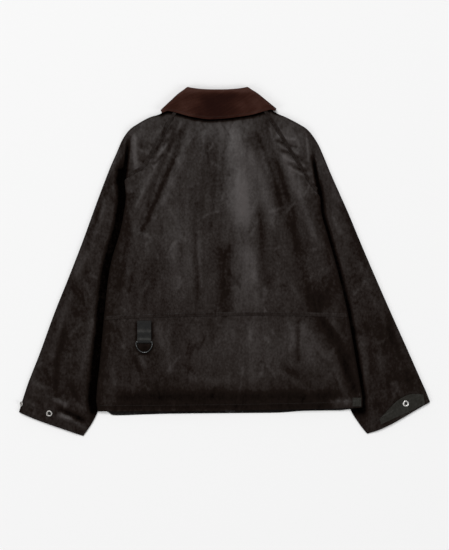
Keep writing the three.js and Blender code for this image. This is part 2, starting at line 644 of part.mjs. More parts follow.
function addSleeve(side) {
  const upper = sleeveHeights(side, STEPS.sleeve).map((innerY) => {
    const { inner, outer, drop, above } = sleeveRow(side, innerY);
    const length = Math.hypot(outer.x - inner.x, outer.y - inner.y);
    const rollShare = Math.min(EDGE_ROLL / length, ROLL_WIDEST);
    const half = Math.min(PLEAT.width / length, PLEAT.widest);
    const cross = THREE.MathUtils.clamp(foldShare(side, inner, outer), half, 1 - rollShare - 2 * half);
    const stops = [
      ...steps(STEPS.sleeveHidden).slice(0, -1).map((s) => ({ t: mix(0, cross - half, s), step: 0 })),
      ...steps(STEPS.shoulderFold).map((s) => ({ t: cross, step: s, pleat: true })),
      ...steps(STEPS.sleeveShown).slice(1, -1).map((s) => ({ t: mix(cross + half, 1 - rollShare, s), step: 1 })),
      ...[...ROLL_COLUMNS].reverse().map((d) => ({ t: 1 - (d / EDGE_ROLL) * rollShare, step: 1 })),
    ];
    return stops.map((stop) => {
      const folded = above && stop.pleat ? drop : 0;
      const across = stop.pleat ? (2 * stop.step - 1) * half * mix(1, PLEAT.folded, folded) : 0;
      const tuck = folded * (PLEAT.tuck / length) * Math.sin(2 * Math.PI * stop.step);
      const { x, y } = sleevePoint(side, inner, outer, stop.t + across + tuck);
      const low = above ? drop * (stop.pleat ? (1 - Math.cos(Math.PI * stop.step)) / 2 : stop.step) : 1;
      const level = mix(backHeight(x, y), sleeveHeight(side, x, y), low);
      const rim = lowHeight(y) + CLOTH + RIM_GAP;
      return new THREE.Vector3(x, y, mix(rim, level, roll((1 - stop.t) * EDGE_ROLL / rollShare)));
    });
  });
  addWall(`sleeve_back_${side}`, upper, CLOTH, MATERIALS.wax);

  const under = sleeveHeights(side, STEPS.under).map((innerY) => {
    const { inner, outer } = sleeveRow(side, innerY);
    const edge = { x: outer.x - outward(side) * SEAM, y: outer.y };
    return steps(STEPS.underAcross).map((s) => {
      const { x, y } = sleevePoint(side, inner, edge, s);
      return new THREE.Vector3(x, y, lowHeight(y));
    });
  });
  addFloorWall(`sleeve_front_${side}`, under, MATERIALS.wax);
}

// What lies on the panels

const CUFF_TAB = [
  { lowX: 440, lowY: -313, highX: 437, highY: -292 },
  { lowX: 412, lowY: -327, highX: 408, highY: -292 },
  { lowX: 385, lowY: -339, highX: 381, highY: -305 },
  { lowX: 363, lowY: -349, highX: 356, highY: -330 },
  { lowX: 344, lowY: -358, highX: 341, highY: -346 },
];
const HEM_TAB = { left: 281, right: 300, low: -318, high: -299 };

function addTabs() {
  const rows = CUFF_TAB.map((row, index) => ({ ...row, index }));
  const cuff = steps(STEPS.cuffTab).map((t) => {
    const value = (want) => curve(rows, 'index', want, t * (rows.length - 1));
    return steps(STEPS.cuffTabAcross).map((s) => {
      const x = mix(value('lowX'), value('highX'), s);
      const y = mix(value('lowY'), value('highY'), s);
      return new THREE.Vector3(x, y, sleeveHeight('right', x, y) + 2 * SEAM + WEBBING);
    });
  });
  addWall('cuff_tab_right', cuff, WEBBING, MATERIALS.tab);

  const hem = steps(STEPS.hemTab).map((t) => steps(STEPS.hemTab).map((s) => {
    const x = mix(HEM_TAB.left, HEM_TAB.right, s);
    const y = mix(HEM_TAB.low, HEM_TAB.high, t);
    const over = roll(sideX('right', y) - x);
    const panel = mix(frontHeight(x, y) + CLOTH + RIM_GAP, backHeight(x, y), over);
    return new THREE.Vector3(x, y, panel + 2 * SEAM + WEBBING);
  }));
  addWall('hem_tab_right', hem, WEBBING, MATERIALS.webbing);
}

// A press stud: a ring-shaped cap with a dimple in its middle.
function addStuds() {
  STUDS.forEach(({ name, x, y, tilt, rise, radius = STUD.radius }) => {
    const profile = STUD_PROFILE.map(([out, up]) => new THREE.Vector2(out * radius, up * STUD.height));
    const geometry = new THREE.LatheGeometry(profile, STEPS.stud);
    geometry.rotateX(Math.PI / 2);
    const mesh = new THREE.Mesh(geometry, MATERIALS.nickel);
    mesh.name = name;
    const side = x < 0 ? 'left' : 'right';
    const onTab = name === 'snap_cuff_right' ? 2 * SEAM + WEBBING : 0;
    const height = rise ?? sleeveHeight(side, x, y) + onTab + 2 * SEAM;
    mesh.position.set(x, y, height);
    mesh.rotation.y = THREE.MathUtils.degToRad(outward(side) * tilt);
    jacket.add(mesh);
  });
}

// The webbing runs down to the ring's bar, round it and back up over itself.
const BAR_HEIGHT = FLAT_PATCH.top + SEAM + RING.wire / 2 + SEAM + WEBBING;

function addStrap() {
  const radius = RING.wire / 2 + SEAM + WEBBING;
  const low = BAR_HEIGHT - radius;
  const high = low + 2 * WEBBING + SEAM;
  const path = [
    ...steps(STEPS.strapLow).slice(0, -1).map((t) => [mix(STRAP.top, STRAP.bar, t), low]),
    ...steps(STEPS.strapTurn).map((t) => [
      STRAP.bar - radius * Math.sin(Math.PI * t), BAR_HEIGHT - radius * Math.cos(Math.PI * t)]),
    ...steps(STEPS.strapPinch).slice(1).map((t) => [
      STRAP.bar + STRAP.pinch * t, mix(BAR_HEIGHT + radius, high, ease(t))]),
    ...steps(STEPS.strapHigh).slice(1).map((t) => [mix(STRAP.bar + STRAP.pinch, STRAP.top, t), high]),
  ];
  const inward = path.map((_, i) => {
    const from = path[Math.max(0, i - 1)];
    const to = path[Math.min(path.length - 1, i + 1)];
    const length = Math.hypot(to[0] - from[0], to[1] - from[1]);
    return [(to[1] - from[1]) / length, -(to[0] - from[0]) / length];
  });
  const grid = (depth) => path.map(([y, z], i) => steps(STEPS.strapAcross).map((s) => (
    new THREE.Vector3(STRAP.x + (s - 0.5) * STRAP.width, y + inward[i][0] * depth, z + inward[i][1] * depth))));
  addShell('ring_strap', grid(0), grid(WEBBING), MATERIALS.webbing);
}

// The ring: a round wire bent to a D, its straight bar in the webbing, its bow resting on the cloth.
function addRing() {
  const half = (RING.width - RING.wire) / 2;
  const depth = RING.depth - RING.wire / 2;
  const outline = new THREE.Shape();
  outline.moveTo(-half + RING.corner, 0);
  outline.lineTo(half - RING.corner, 0);
  outline.absarc(half - RING.corner, -RING.corner, RING.corner, Math.PI / 2, 0, true);
  outline.absellipse(0, -RING.corner, half, depth - RING.corner, 0, -Math.PI, true);
  outline.absarc(-half + RING.corner, -RING.corner, RING.corner, Math.PI, Math.PI / 2, true);
  const path = outline.getSpacedPoints(STEPS.ring).slice(0, -1);
  const sides = STEPS.wire;
  const drop = Math.asin((BAR_HEIGHT - FLAT_PATCH.top - SEAM - RING.wire / 2) / depth);
  const positions = [];
  path.forEach((point, i) => {
    const from = path[(i + path.length - 1) % path.length];
    const to = path[(i + 1) % path.length];
    const tangent = new THREE.Vector2().subVectors(to, from).normalize();
    for (let k = 0; k < sides; k += 1) {
      const angle = (2 * Math.PI * k) / sides;
      const out = (RING.wire / 2) * Math.cos(angle);
      const place = new THREE.Vector3(
        point.x - tangent.y * out, point.y + tangent.x * out, (RING.wire / 2) * Math.sin(angle));
      positions.push(...place.toArray());
    }
  });
  const triangles = [];
  path.forEach((_, i) => {
    for (let k = 0; k < sides; k += 1) {
      const next = ((i + 1) % path.length) * sides;
      const a = i * sides + k;
      const b = i * sides + ((k + 1) % sides);
      triangles.push(a, b, next + ((k + 1) % sides), a, next + ((k + 1) % sides), next + k);
    }
  });
  addMesh('d_ring', positions, triangles, MATERIALS.gunmetal);
  const ring = jacket.getObjectByName('d_ring');
  ring.position.set(STRAP.x, STRAP.bar, BAR_HEIGHT);
  ring.rotation.x = drop;
}

addFronts();
['left', 'right'].forEach(addSleeve);
addBack();
addCollar();
addTabs();
addStrap();
addRing();
addStuds();

export default jacket;
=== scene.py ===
# %% [markdown]
# # A waxed cotton jacket, laid flat with its back up
# The jacket lies on its front, and we look straight down at its back. Waxed cotton is a thin, slightly
# stiff cloth, so every panel here is a thin closed shell. A panel could be sculpted by hand or simulated,
# but laid-out cloth has few and well placed folds, so each panel is a height worked out by a formula over
# its plan. The same formula then serves the panel, its seams, its stitches and whatever lies on it.

import bpy
import numpy as np
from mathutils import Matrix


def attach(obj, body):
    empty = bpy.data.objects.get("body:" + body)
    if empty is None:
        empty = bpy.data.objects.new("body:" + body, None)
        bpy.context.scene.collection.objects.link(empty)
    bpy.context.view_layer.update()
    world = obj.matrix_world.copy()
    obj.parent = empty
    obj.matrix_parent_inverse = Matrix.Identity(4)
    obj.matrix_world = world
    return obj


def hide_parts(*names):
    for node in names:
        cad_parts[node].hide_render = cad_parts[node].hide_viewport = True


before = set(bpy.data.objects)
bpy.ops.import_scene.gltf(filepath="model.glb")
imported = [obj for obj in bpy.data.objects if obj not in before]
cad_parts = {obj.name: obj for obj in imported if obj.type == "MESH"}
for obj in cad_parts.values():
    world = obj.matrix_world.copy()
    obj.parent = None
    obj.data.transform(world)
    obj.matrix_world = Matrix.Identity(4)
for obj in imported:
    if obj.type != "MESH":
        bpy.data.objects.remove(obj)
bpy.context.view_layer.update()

# %% [markdown]
# ## Sizes
# Sizes are in millimetres and are turned into metres only when a mesh is made. X runs across the back, Y
# from the hem to the collar, and Z up from the surface. The tables hold the outline that a pattern cutter
# would chalk.

# %% Driving sizes
MM = 0.001
CLOTH = 1.6
CORD_CLOTH = 2.2
WEBBING = 1.4
SEAM = 0.3
RIM_GAP = 0.6
BACK_TOP = 11.0
BACK_DOME = 2.2
SLEEVE_PRESSED = 3.5
SLEEVE_PUFF = 3.4
SIDE_LIFT = 3.9
COLLAR_LIFT = 2.5
NECK_LIFT = 1.4
NECK_Y = 318.0
NECK_RAMP = 24.0
EDGE_ROLL = 8.0
LIFT_RAMP = 32.0
LIFT_LEAD = 20.0
PUFF_RAMP = 45.0
LEAF_RAMP = 34.0
LEAF_EDGE_Y = 302.0


def table(columns, *rows):
    """A short table as one array for each named column."""
    values = np.array(rows, float)
    return {name: values[:, k] for k, name in enumerate(columns.split())}


# %% [markdown]
# ## The outline
# The sides of the body are folds, so they stand a little over the sleeves. The raglan seams run from the
# underarm to the neck, and the sleeves' inner folds are hidden under the body for most of their length.

# %% Outline tables
SIDES = table(
    "y left right",
    (-331, -279, 303), (-300, -282, 303), (-209, -273, 288), (-103, -263, 269),
    (-9, -251, 246), (68, -229, 224), (103, -222, 214), (143, -217, 210),
    (183, -220, 203), (222, -216, 196), (273, -211, 184))
RAGLAN = {
    "left": table("y x", (181, -217), (191, -198), (205, -175), (264, -141), (323, -106), (354, -88)),
    "right": table("y x", (146, 207), (163, 191), (199, 168), (244, 139), (325, 88), (357, 66.6))}
SLEEVE_FOLD = {
    "left": table(
        "y x",
        (-384, -311), (-357, -292.5), (-330, -279), (-250, -250), (-160, -228), (-60, -212), (40, -203),
        (120, -206), (168, -217), (181, -221)),
    "right": table(
        "y x", (-379, 314), (-361, 299.5), (-327, 278), (-250, 255), (-160, 238), (-60, 222), (40, 206),
        (100, 201), (134, 208), (146, 212))}
SLEEVE_ROWS = {
    "left": table(
        "y outer_x outer_y drop",
        (354, -104, 356.3, 0), (323, -138, 326.5, 0), (294, -165, 317, 0), (264, -189, 304, 0),
        (232, -210, 289, 0.1), (207, -226, 266, 0.75), (192, -238, 238, 1), (181.5, -250, 211, 1),
        (150, -268, 165, 1), (105, -287, 114, 1), (40, -312, 45, 1), (-40, -343, -35, 1),
        (-130, -375, -115, 1), (-220, -407, -203, 1), (-300, -431, -264, 1), (-345, -443, -300, 1),
        (-384, -452.5, -331, 1)),
    "right": table(
        "y outer_x outer_y drop",
        (357, 75, 357.8, 0), (325, 112, 328, 0), (300, 136, 317, 0), (272, 161, 304, 0),
        (240, 184, 289, 0.1), (205, 204, 262, 0.75), (170, 218, 232, 1), (146.5, 232, 198, 1),
        (120, 251, 155, 1), (80, 272, 108, 1), (20, 298, 45, 1), (-55, 331, -32, 1),
        (-140, 366, -112, 1), (-225, 401, -190, 1), (-300, 431, -258, 1), (-345, 444, -287, 1),
        (-379, 452.5, -309, 1))}
OUTWARD = {"left": -1.0, "right": 1.0}
CUFF_BOW = {"left": 2.2, "right": 4.8, "reach": 60.0}
BOW_PEAK = 27 / 4
CORNER = {"gap": 0.48, "reach": 14.0, "room": 0.3, "inset": 0.5}
HEM = {"left": -329.0, "right": -321.0, "bow": -2.0}
FRONT_HEM = table(
    "x y", (-266, -327), (-256, -331), (-248, -337), (-229, -338.5), (-185, -337), (-120, -335),
    (35, -333.5), (123, -332.5), (170, -329), (255, -327), (292, -322))
CROSS_SEAM = {"left": -129.0, "right": -123.0, "bow": 6.0}
CENTRE_FRONT = {"neck_x": -15.0, "neck_y": 342.0, "hem_x": 12.0, "zip_half": 11.0}
print("outline rows:", len(SIDES["y"]), "sides,", len(SLEEVE_ROWS["left"]["y"]), "sleeve rows")

# %% [markdown]
# ## The folds
# A fold in laid cloth is a soft bell across its line that dies away at both ends. The long ones radiate from
# the raglan seams, because the shoulders pull there. Each row is placed from the photograph: where it starts
# and ends, how high it stands (below 0 is a trough), how wide it is, and how far its middle bows sideways.

# %% Fold tables
FOLDS = table(
    "from_x from_y to_x to_y height width bow",
    (-90, 295, -190, 68, -2.4, 12, 0), (-112, 288, -205, 95, 1.5, 13, 0),
    (-66, 296, -158, 70, 1.4, 14, 0), (33, 290, 25, 90, 1.5, 24, 0),
    (25, 90, 36, -118, 1.2, 22, 0), (62, 288, 143, 68, -2.1, 12, 0),
    (143, 68, 187, -128, -1.8, 12, 0), (92, 300, 136, 119, -1.6, 10, 0),
    (112, 280, 176, 40, 1.6, 13, 0), (-64, 105, -46, -121, -0.9, 9, 0),
    (165, -134, 238, -209, 1.7, 11, 0), (238, -209, 290, -290, 1.5, 10, 0),
    (207, -141, 276, -255, -1.8, 10, 0), (-200, -285, 200, -278, -1.1, 13, 0),
    (-240, 225, -335, -30, 1.3, 13, 0), (-300, -20, -345, -200, -1.2, 14, 0),
    (332, -100, 322, -215, -1.4, 13, 0), (240, 150, 330, -60, 1.2, 14, 0),
    (-370, -320, -304, -352, -2, 8, 0), (-404, -296, -344, -320, 1.4, 9, 0))
SMALL_FOLDS = table(
    "from_x from_y to_x to_y height width bow",
    (-96, 292, -170, 120, -0.7, 4.5, 5), (-130, 268, -196, 118, 0.5, 5, -4),
    (70, 282, 128, 110, -0.7, 4.5, -5), (100, 296, 150, 90, 0.5, 5, 6), (-40, 290, -58, 130, 0.45, 6, 4),
    (-20, 240, -34, 60, -0.4, 5, -5), (8, 285, -6, 150, -0.45, 6, 4), (52, 270, 60, 120, -0.4, 5, 5),
    (-58, 108, -48, -60, 0.4, 4, 3), (-66, 60, -60, -115, -0.45, 3.5, -3), (12, 40, 18, -110, -0.4, 5, 4),
    (60, 20, 70, -118, 0.4, 6, -4), (-170, 30, -186, -110, 0.4, 7, 6), (-208, 90, -232, -60, -0.5, 8, -5),
    (163, -128, 163, -222, -0.9, 5, 2), (140, -130, 152, -190, 0.5, 6, -3),
    (-197, -206, -184, -244, -0.9, 4.5, 2), (-186, -204, -172, -238, 0.6, 4, 2),
    (-120, -135, -118, -250, 0.4, 8, 6), (-30, -130, -22, -260, -0.45, 7, -5),
    (60, -135, 66, -270, 0.4, 8, 5), (232, -225, 262, -300, -0.7, 5, 3), (180, -160, 232, -232, -0.6, 5, 4),
    (120, -240, 190, -300, 0.4, 7, -6), (-250, -150, -240, -280, 0.5, 8, 4),
    (-90, -250, 20, -262, 0.35, 9, 6), (116, 276, 158, 266, 0.8, 3.4, 2),
    (112, 266, 162, 250, -0.9, 3.4, 2), (120, 254, 166, 236, 0.9, 3.4, 2),
    (124, 243, 172, 222, -0.9, 3.4, -2), (130, 230, 180, 208, 0.9, 3.4, 2),
    (138, 217, 182, 196, -0.8, 3.4, 2), (144, 205, 188, 184, 0.7, 3.4, 2),
    (-150, 282, -118, 300, 0.4, 6, 3), (-146, 246, -172, 260, -0.7, 3.6, 2),
    (-156, 228, -184, 244, 0.7, 3.6, 2), (-166, 210, -192, 224, -0.7, 3.6, 2),
    (-126, 256, -146, 232, 0.8, 3.8, -2), (-134, 238, -156, 212, -0.9, 3.8, -2),
    (-120, 270, -136, 250, -0.7, 3.6, 2), (-196, 276, -190, 198, 1.1, 5, 2),
    (-184, 268, -176, 214, -0.6, 5, -2), (-160, 276, -158, 232, 0.4, 6, 2),
    (-246, 190, -300, 20, -0.6, 7, 6), (-262, 130, -330, -40, 0.6, 8, -6),
    (-330, -60, -380, -220, 0.7, 8, 6), (-290, -120, -322, -260, 0.5, 8, -4),
    (-350, -150, -372, -280, -0.6, 7, 4), (-365, -334, -330, -346, 1.1, 6, 1),
    (-424, -262, -380, -282, 0.6, 6, 3), (-340, -262, -318, -312, -0.6, 6, 2),
    (-412, -318, -440, -306, 0.5, 5, 1), (-372, -300, -350, -282, -0.5, 5, 1),
    (-334, -300, -306, -326, 0.5, 6, 2), (250, 130, 318, -40, -0.6, 8, -6), (300, 0, 356, -140, 0.6, 8, 5),
    (360, -120, 392, -220, -0.6, 8, 4), (300, -160, 310, -280, 0.6, 8, -4),
    (345, -200, 352, -300, 0.5, 7, 3), (400, -236, 412, -282, -0.6, 6, 2),
    (372, -262, 392, -296, 0.7, 6, 2), (330, -300, 350, -340, -0.5, 6, 2))
CREASE_SEED = 7
CREASE_COUNT = 420
CREASE = {
    "across": (-450.0, 450.0), "along": (-380.0, 330.0), "length": (12.0, 44.0), "width": (2.0, 4.6),
    "height": 0.26, "most": 0.26, "lean": 0.55, "fan": 0.0009, "bow": 2.5}


def random_creases():
    """A few hundred faint, short creases: random middles and lengths, most of them near the cloth's long
    run."""
    draw = np.random.default_rng(CREASE_SEED)
    x = draw.uniform(*CREASE["across"], CREASE_COUNT)
    y = draw.uniform(*CREASE["along"], CREASE_COUNT)
    length = draw.uniform(*CREASE["length"], CREASE_COUNT)
    lean = draw.normal(np.pi / 2, CREASE["lean"], CREASE_COUNT) - CREASE["fan"] * x
    height = np.clip(draw.normal(0, CREASE["height"], CREASE_COUNT), -CREASE["most"], CREASE["most"])
    width = draw.uniform(*CREASE["width"], CREASE_COUNT)
    bow = draw.normal(0, CREASE["bow"], CREASE_COUNT)
    run_x, run_y = length * np.cos(lean) / 2, length * np.sin(lean) / 2
    return {
        "from_x": x - run_x, "from_y": y - run_y, "to_x": x + run_x, "to_y": y + run_y,
        "height": height, "width": width, "bow": bow}


CREASES = random_creases()
print("folds:", len(FOLDS["height"]) + len(SMALL_FOLDS["height"]), "faint creases:", CREASE_COUNT)

# %% [markdown]
# ## Curves and heights
# A smooth curve through a table is a Hermite curve: between two rows it leaves and arrives with the slope
# that their neighbours give. Every height below is made from that curve and from an eased step.


# %% Helpers
FOLD_END = 2.5  # a fold dies away over this many of its widths


def mix(a, b, t):
    """a where t is 0, b where t is 1, and in proportion between."""
    return a + (b - a) * t


def ease(value):
    """An eased step: 3t^2 - 2t^3, level below 0 and above 1."""
    t = np.clip(value, 0, 1)
    return t * t * (3 - 2 * t)


def arch(t):
    """A parabola that is 0 at both ends and 1 in the middle: 4t(1 - t)."""
    return 4 * t * (1 - t)


def curve(rows, by, want, at):
    """The column want where the column by is at: a cubic between rows, with slopes from the rows on both
    sides."""
    order = np.argsort(rows[by])
    knots, values = rows[by][order], rows[want][order]
    low = np.maximum(np.arange(len(knots)) - 1, 0)
    high = np.minimum(np.arange(len(knots)) + 1, len(knots) - 1)
    slopes = (values[high] - values[low]) / (knots[high] - knots[low])
    at = np.clip(np.asarray(at, float), knots[0], knots[-1])
    k = np.clip(np.searchsorted(knots, at, side="right") - 1, 0, len(knots) - 2)
    span = knots[k + 1] - knots[k]
    t = (at - knots[k]) / span
    level = mix(values[k], values[k + 1], t * t * (3 - 2 * t))
    return level + span * t * (1 - t) * (slopes[k] * (1 - t) - slopes[k + 1] * t)


def side_x(side, y):
    """The side fold of the body at the height y."""
    return curve(SIDES, "y", side, y)


def from_sides(x, y):
    """How far a point is in from the nearer side of the body."""
    return np.minimum(x - side_x("left", y), side_x("right", y) - x)


def underarm_y(side):
    """The height where the raglan seam meets the side."""
    return RAGLAN[side]["y"][0]


def raglan_x(side, y):
    """The raglan seam at the height y."""
    return curve(RAGLAN[side], "y", "x", y)


def fold_x(side, y):
    """The sleeve's inner fold at the height y."""
    return curve(SLEEVE_FOLD[side], "y", "x", y)


def bells(rows, x, y):
    """The sum of the folds at each point: height * e^-(across / width)^2, eased to nothing at both ends."""
    total = np.zeros(np.shape(x))
    for k in range(len(rows["height"])):
        run_x = rows["to_x"][k] - rows["from_x"][k]
        run_y = rows["to_y"][k] - rows["from_y"][k]
        width, length = rows["width"][k], np.hypot(run_x, run_y)
        along = ((x - rows["from_x"][k]) * run_x + (y - rows["from_y"][k]) * run_y) / length
        across = ((x - rows["from_x"][k]) * run_y - (y - rows["from_y"][k]) * run_x) / length
        t = np.clip(along / length, 0, 1)
        across = across - rows["bow"][k] * arch(t)
        end = FOLD_END * width
        ends = ease((along + width) / end) * ease((length - along + width) / end)
        total = total + rows["height"][k] * ends * np.exp(-((across / width) ** 2))
    return total


def wrinkles(x, y):
    """All the cloth's own relief: the large folds, the small ones and the faint creases."""
    return bells(FOLDS, x, y) + bells(SMALL_FOLDS, x, y) + bells(CREASES, x, y)


# %% [markdown]
# ## What a panel rests on
# The fronts lie on the surface and climb over the sleeves at their sides. The back lies over them, level
# at the neck, gently domed, and flat under the webbing loop so that the ring lies true. Seams draw the
# cloth in, which shows as small, even puckers on both sides of a seam and as a raised band where the
# layers are felled.

# %% Heights
FLAT_PATCH = {"x": -176.0, "y": -166.0, "half_x": 30.0, "half_y": 46.0, "fade": 26.0, "top": 12.6}
STUD_FLAT = 22.0
STUD_PLACES = table("x y", (-385, -334), (-445.9, -313), (398, -312))
BAND = {"hem": 15.0, "cuff": 24.0, "rise": 0.55, "ramp": 1.8}
PUCKER = {
    "pitch": 17.0, "height": 0.55, "reach": 11.0, "sway": 1.3, "sway_run": 23.0, "even": 0.6, "uneven": 0.4,
    "uneven_run": 37.0}
RAGLAN_PUCKER = {"slope": 0.82, "set": 4.0, "run": 1.2, "start": 4.0, "ramp": 20.0}
LEVEL_PUCKER = {"share": 0.7, "set": 3.0, "hem_run": 0.9}


def line_across(line, x):
    """A seam or hem across the body: straight between its two ends, and bowed in its middle."""
    left, right = side_x("left", line["left"]), side_x("right", line["right"])
    t = np.clip((x - left) / (right - left), 0, 1)
    return mix(line["left"], line["right"], t) + line["bow"] * arch(t)


def pucker(distance, along):
    """Puckers at a seam: a wave along it, uneven in height, that fades with the distance from it."""
    sway = PUCKER["sway"] * np.sin(along / PUCKER["sway_run"])
    uneven = PUCKER["even"] + PUCKER["uneven"] * np.sin(along / PUCKER["uneven_run"] + 1)
    wave = np.sin(2 * np.pi * along / PUCKER["pitch"] + sway)
    return PUCKER["height"] * wave * uneven * np.exp(-((distance / PUCKER["reach"]) ** 2))


def double_layer(distance, depth):
    """The rise of a hem or a cuff, where the cloth is folded double to that depth from its edge."""
    return BAND["rise"] * (1 - ease((distance - depth) / BAND["ramp"]))


def seam_relief(x, y):
    """The puckers of the raglan seams, the cross seam and the hem, and the rise of the hem's double
    layer."""
    total = np.zeros(np.shape(x))
    for side in OUTWARD:
        lean = RAGLAN_PUCKER["slope"] * (x - raglan_x(side, y)) - RAGLAN_PUCKER["set"] * OUTWARD[side]
        above = ease((y - underarm_y(side) - RAGLAN_PUCKER["start"]) / RAGLAN_PUCKER["ramp"])
        total = total + above * pucker(lean, y * RAGLAN_PUCKER["run"])
    over_seam, over_hem = y - line_across(CROSS_SEAM, x), y - line_across(HEM, x)
    at_seam = pucker(over_seam - LEVEL_PUCKER["set"], x)
    at_hem = pucker(over_hem - BAND["hem"], x * LEVEL_PUCKER["hem_run"])
    return total + LEVEL_PUCKER["share"] * (at_seam + at_hem) + double_layer(over_hem, BAND["hem"])


def patch_share(x, y):
    """The share of the level patch under the webbing loop."""
    past_x = np.maximum(0, np.abs(x - FLAT_PATCH["x"]) - FLAT_PATCH["half_x"])
    past_y = np.maximum(0, np.abs(y - FLAT_PATCH["y"]) - FLAT_PATCH["half_y"])
    return 1 - ease(np.hypot(past_x, past_y) / FLAT_PATCH["fade"])


BACK_SHAPE = {
    "dome_sides": 120.0, "dome_top_y": 300.0, "dome_top": 120.0, "dome_hem_y": -360.0, "dome_hem": 110.0,
    "folds_top_y": 302.0, "folds_top": 36.0, "folds_sides": 28.0, "folds_at_side": 0.15}


def back_height(x, y):
    """The outer face of the back: its top, a dome eased in from the sides, the folds and the seams'
    relief."""
    form, reach = BACK_SHAPE, from_sides(x, y)
    dome = BACK_DOME * ease(reach / form["dome_sides"]) * ease((form["dome_top_y"] - y) / form["dome_top"])
    dome = dome * ease((y - form["dome_hem_y"]) / form["dome_hem"])
    shown = ease(reach / form["folds_sides"] + form["folds_at_side"])
    shown = shown * ease((form["folds_top_y"] - y) / form["folds_top"])
    free = BACK_TOP + dome + (wrinkles(x, y) + seam_relief(x, y)) * shown
    return mix(free, FLAT_PATCH["top"], patch_share(x, y))


def low_height(y):
    """The lift of the lowest layer over the collar's front leaves and at the neck seam."""
    leaf = COLLAR_LIFT * ease((y - LEAF_EDGE_Y + LEAF_RAMP) / LEAF_RAMP)
    return leaf + NECK_LIFT * ease((y - NECK_Y) / NECK_RAMP)


UNDERARM = {"hold": 20.0, "ramp": 26.0}


def front_height(x, y):
    """The underside of the fronts: on the surface, and lifted over the sleeves at the sides."""
    lift = 0.0
    for side in OUTWARD:
        start = fold_x(side, np.minimum(y, underarm_y(side) - UNDERARM["hold"]))
        share = ease(((x - start) * OUTWARD[side] + LIFT_RAMP + LIFT_LEAD) / LIFT_RAMP)
        lift = np.maximum(lift, share * ease((underarm_y(side) + UNDERARM["ramp"] - y) / UNDERARM["ramp"]))
    return np.maximum(low_height(y), SIDE_LIFT * lift)


def cuff_distance(side, x, y):
    """How far a point is from the cuff's edge, measured up the sleeve."""
    rows = SLEEVE_ROWS[side]
    inner = np.array([fold_x(side, rows["y"][-1]), rows["y"][-1]])
    outer = np.array([rows["outer_x"][-1], rows["outer_y"][-1]])
    length = np.hypot(*(outer - inner))
    along = (outer - inner) / length
    t = np.clip(((x - inner[0]) * along[0] + (y - inner[1]) * along[1]) / length, 0, 1)
    share = 1 - t if side == "left" else t
    bow = CUFF_BOW[side] * BOW_PEAK * share * (1 - share) ** 2
    return np.abs((x - inner[0]) * along[1] - (y - inner[1]) * along[0]) + bow


PUFF_AT_FOLD = 26.0
STUD_LEVEL = 0.5


def sleeve_height(side, x, y):
    """The outer face of a sleeve: pressed flat under the body, puffed and wrinkled beyond it."""
    from_body = (x - side_x(side, y)) * OUTWARD[side]
    from_fold = (x - fold_x(side, y)) * OUTWARD[side]
    puff = ease(from_body / PUFF_RAMP) * ease(from_fold / PUFF_AT_FOLD + (y > underarm_y(side)))
    studs = np.ones(np.shape(x))
    for stud_x, stud_y in zip(STUD_PLACES["x"], STUD_PLACES["y"]):
        studs = studs * ease(np.hypot(x - stud_x, y - stud_y) / STUD_FLAT - STUD_LEVEL)
    cuff = cuff_distance(side, x, y)
    band = double_layer(cuff, BAND["cuff"]) + LEVEL_PUCKER["share"] * pucker(cuff - BAND["cuff"], x)
    return SLEEVE_PRESSED + (SLEEVE_PUFF + (wrinkles(x, y) + band) * studs) * puff + low_height(y)


def roll(distance, width=EDGE_ROLL):
    """A rolled edge: a quarter ellipse, 0 at the edge and 1 where the roll ends."""
    return np.sqrt(1 - (1 - np.clip(distance / width, 0, 1)) ** 2)


print("height of the back in its middle:", round(float(back_height(np.array(0.0), np.array(0.0))), 2), "mm")

# %% Collar sizes
COLLAR = {
    "roll_x": -15.4, "roll_half": 61.6, "roll_y": 377.7, "roll_corner": 4.6, "roll_power": 2.6,
    "lean_at_roll": 0.3, "fall_x": -13.0, "fall_half": 124.0,
    "stand": 33.0, "ring": 3.8, "inner": -2.0, "outer": 3.7, "front_gap": 0.03, "front_short": 5.0}
COLLAR_EDGE = table(
    "at y", (-1, 326), (-0.885, 330), (-0.467, 317.2), (-0.107, 311.8), (0.549, 321), (0.926, 333), (1, 329))
print("collar", 2 * COLLAR["fall_half"], "mm wide")
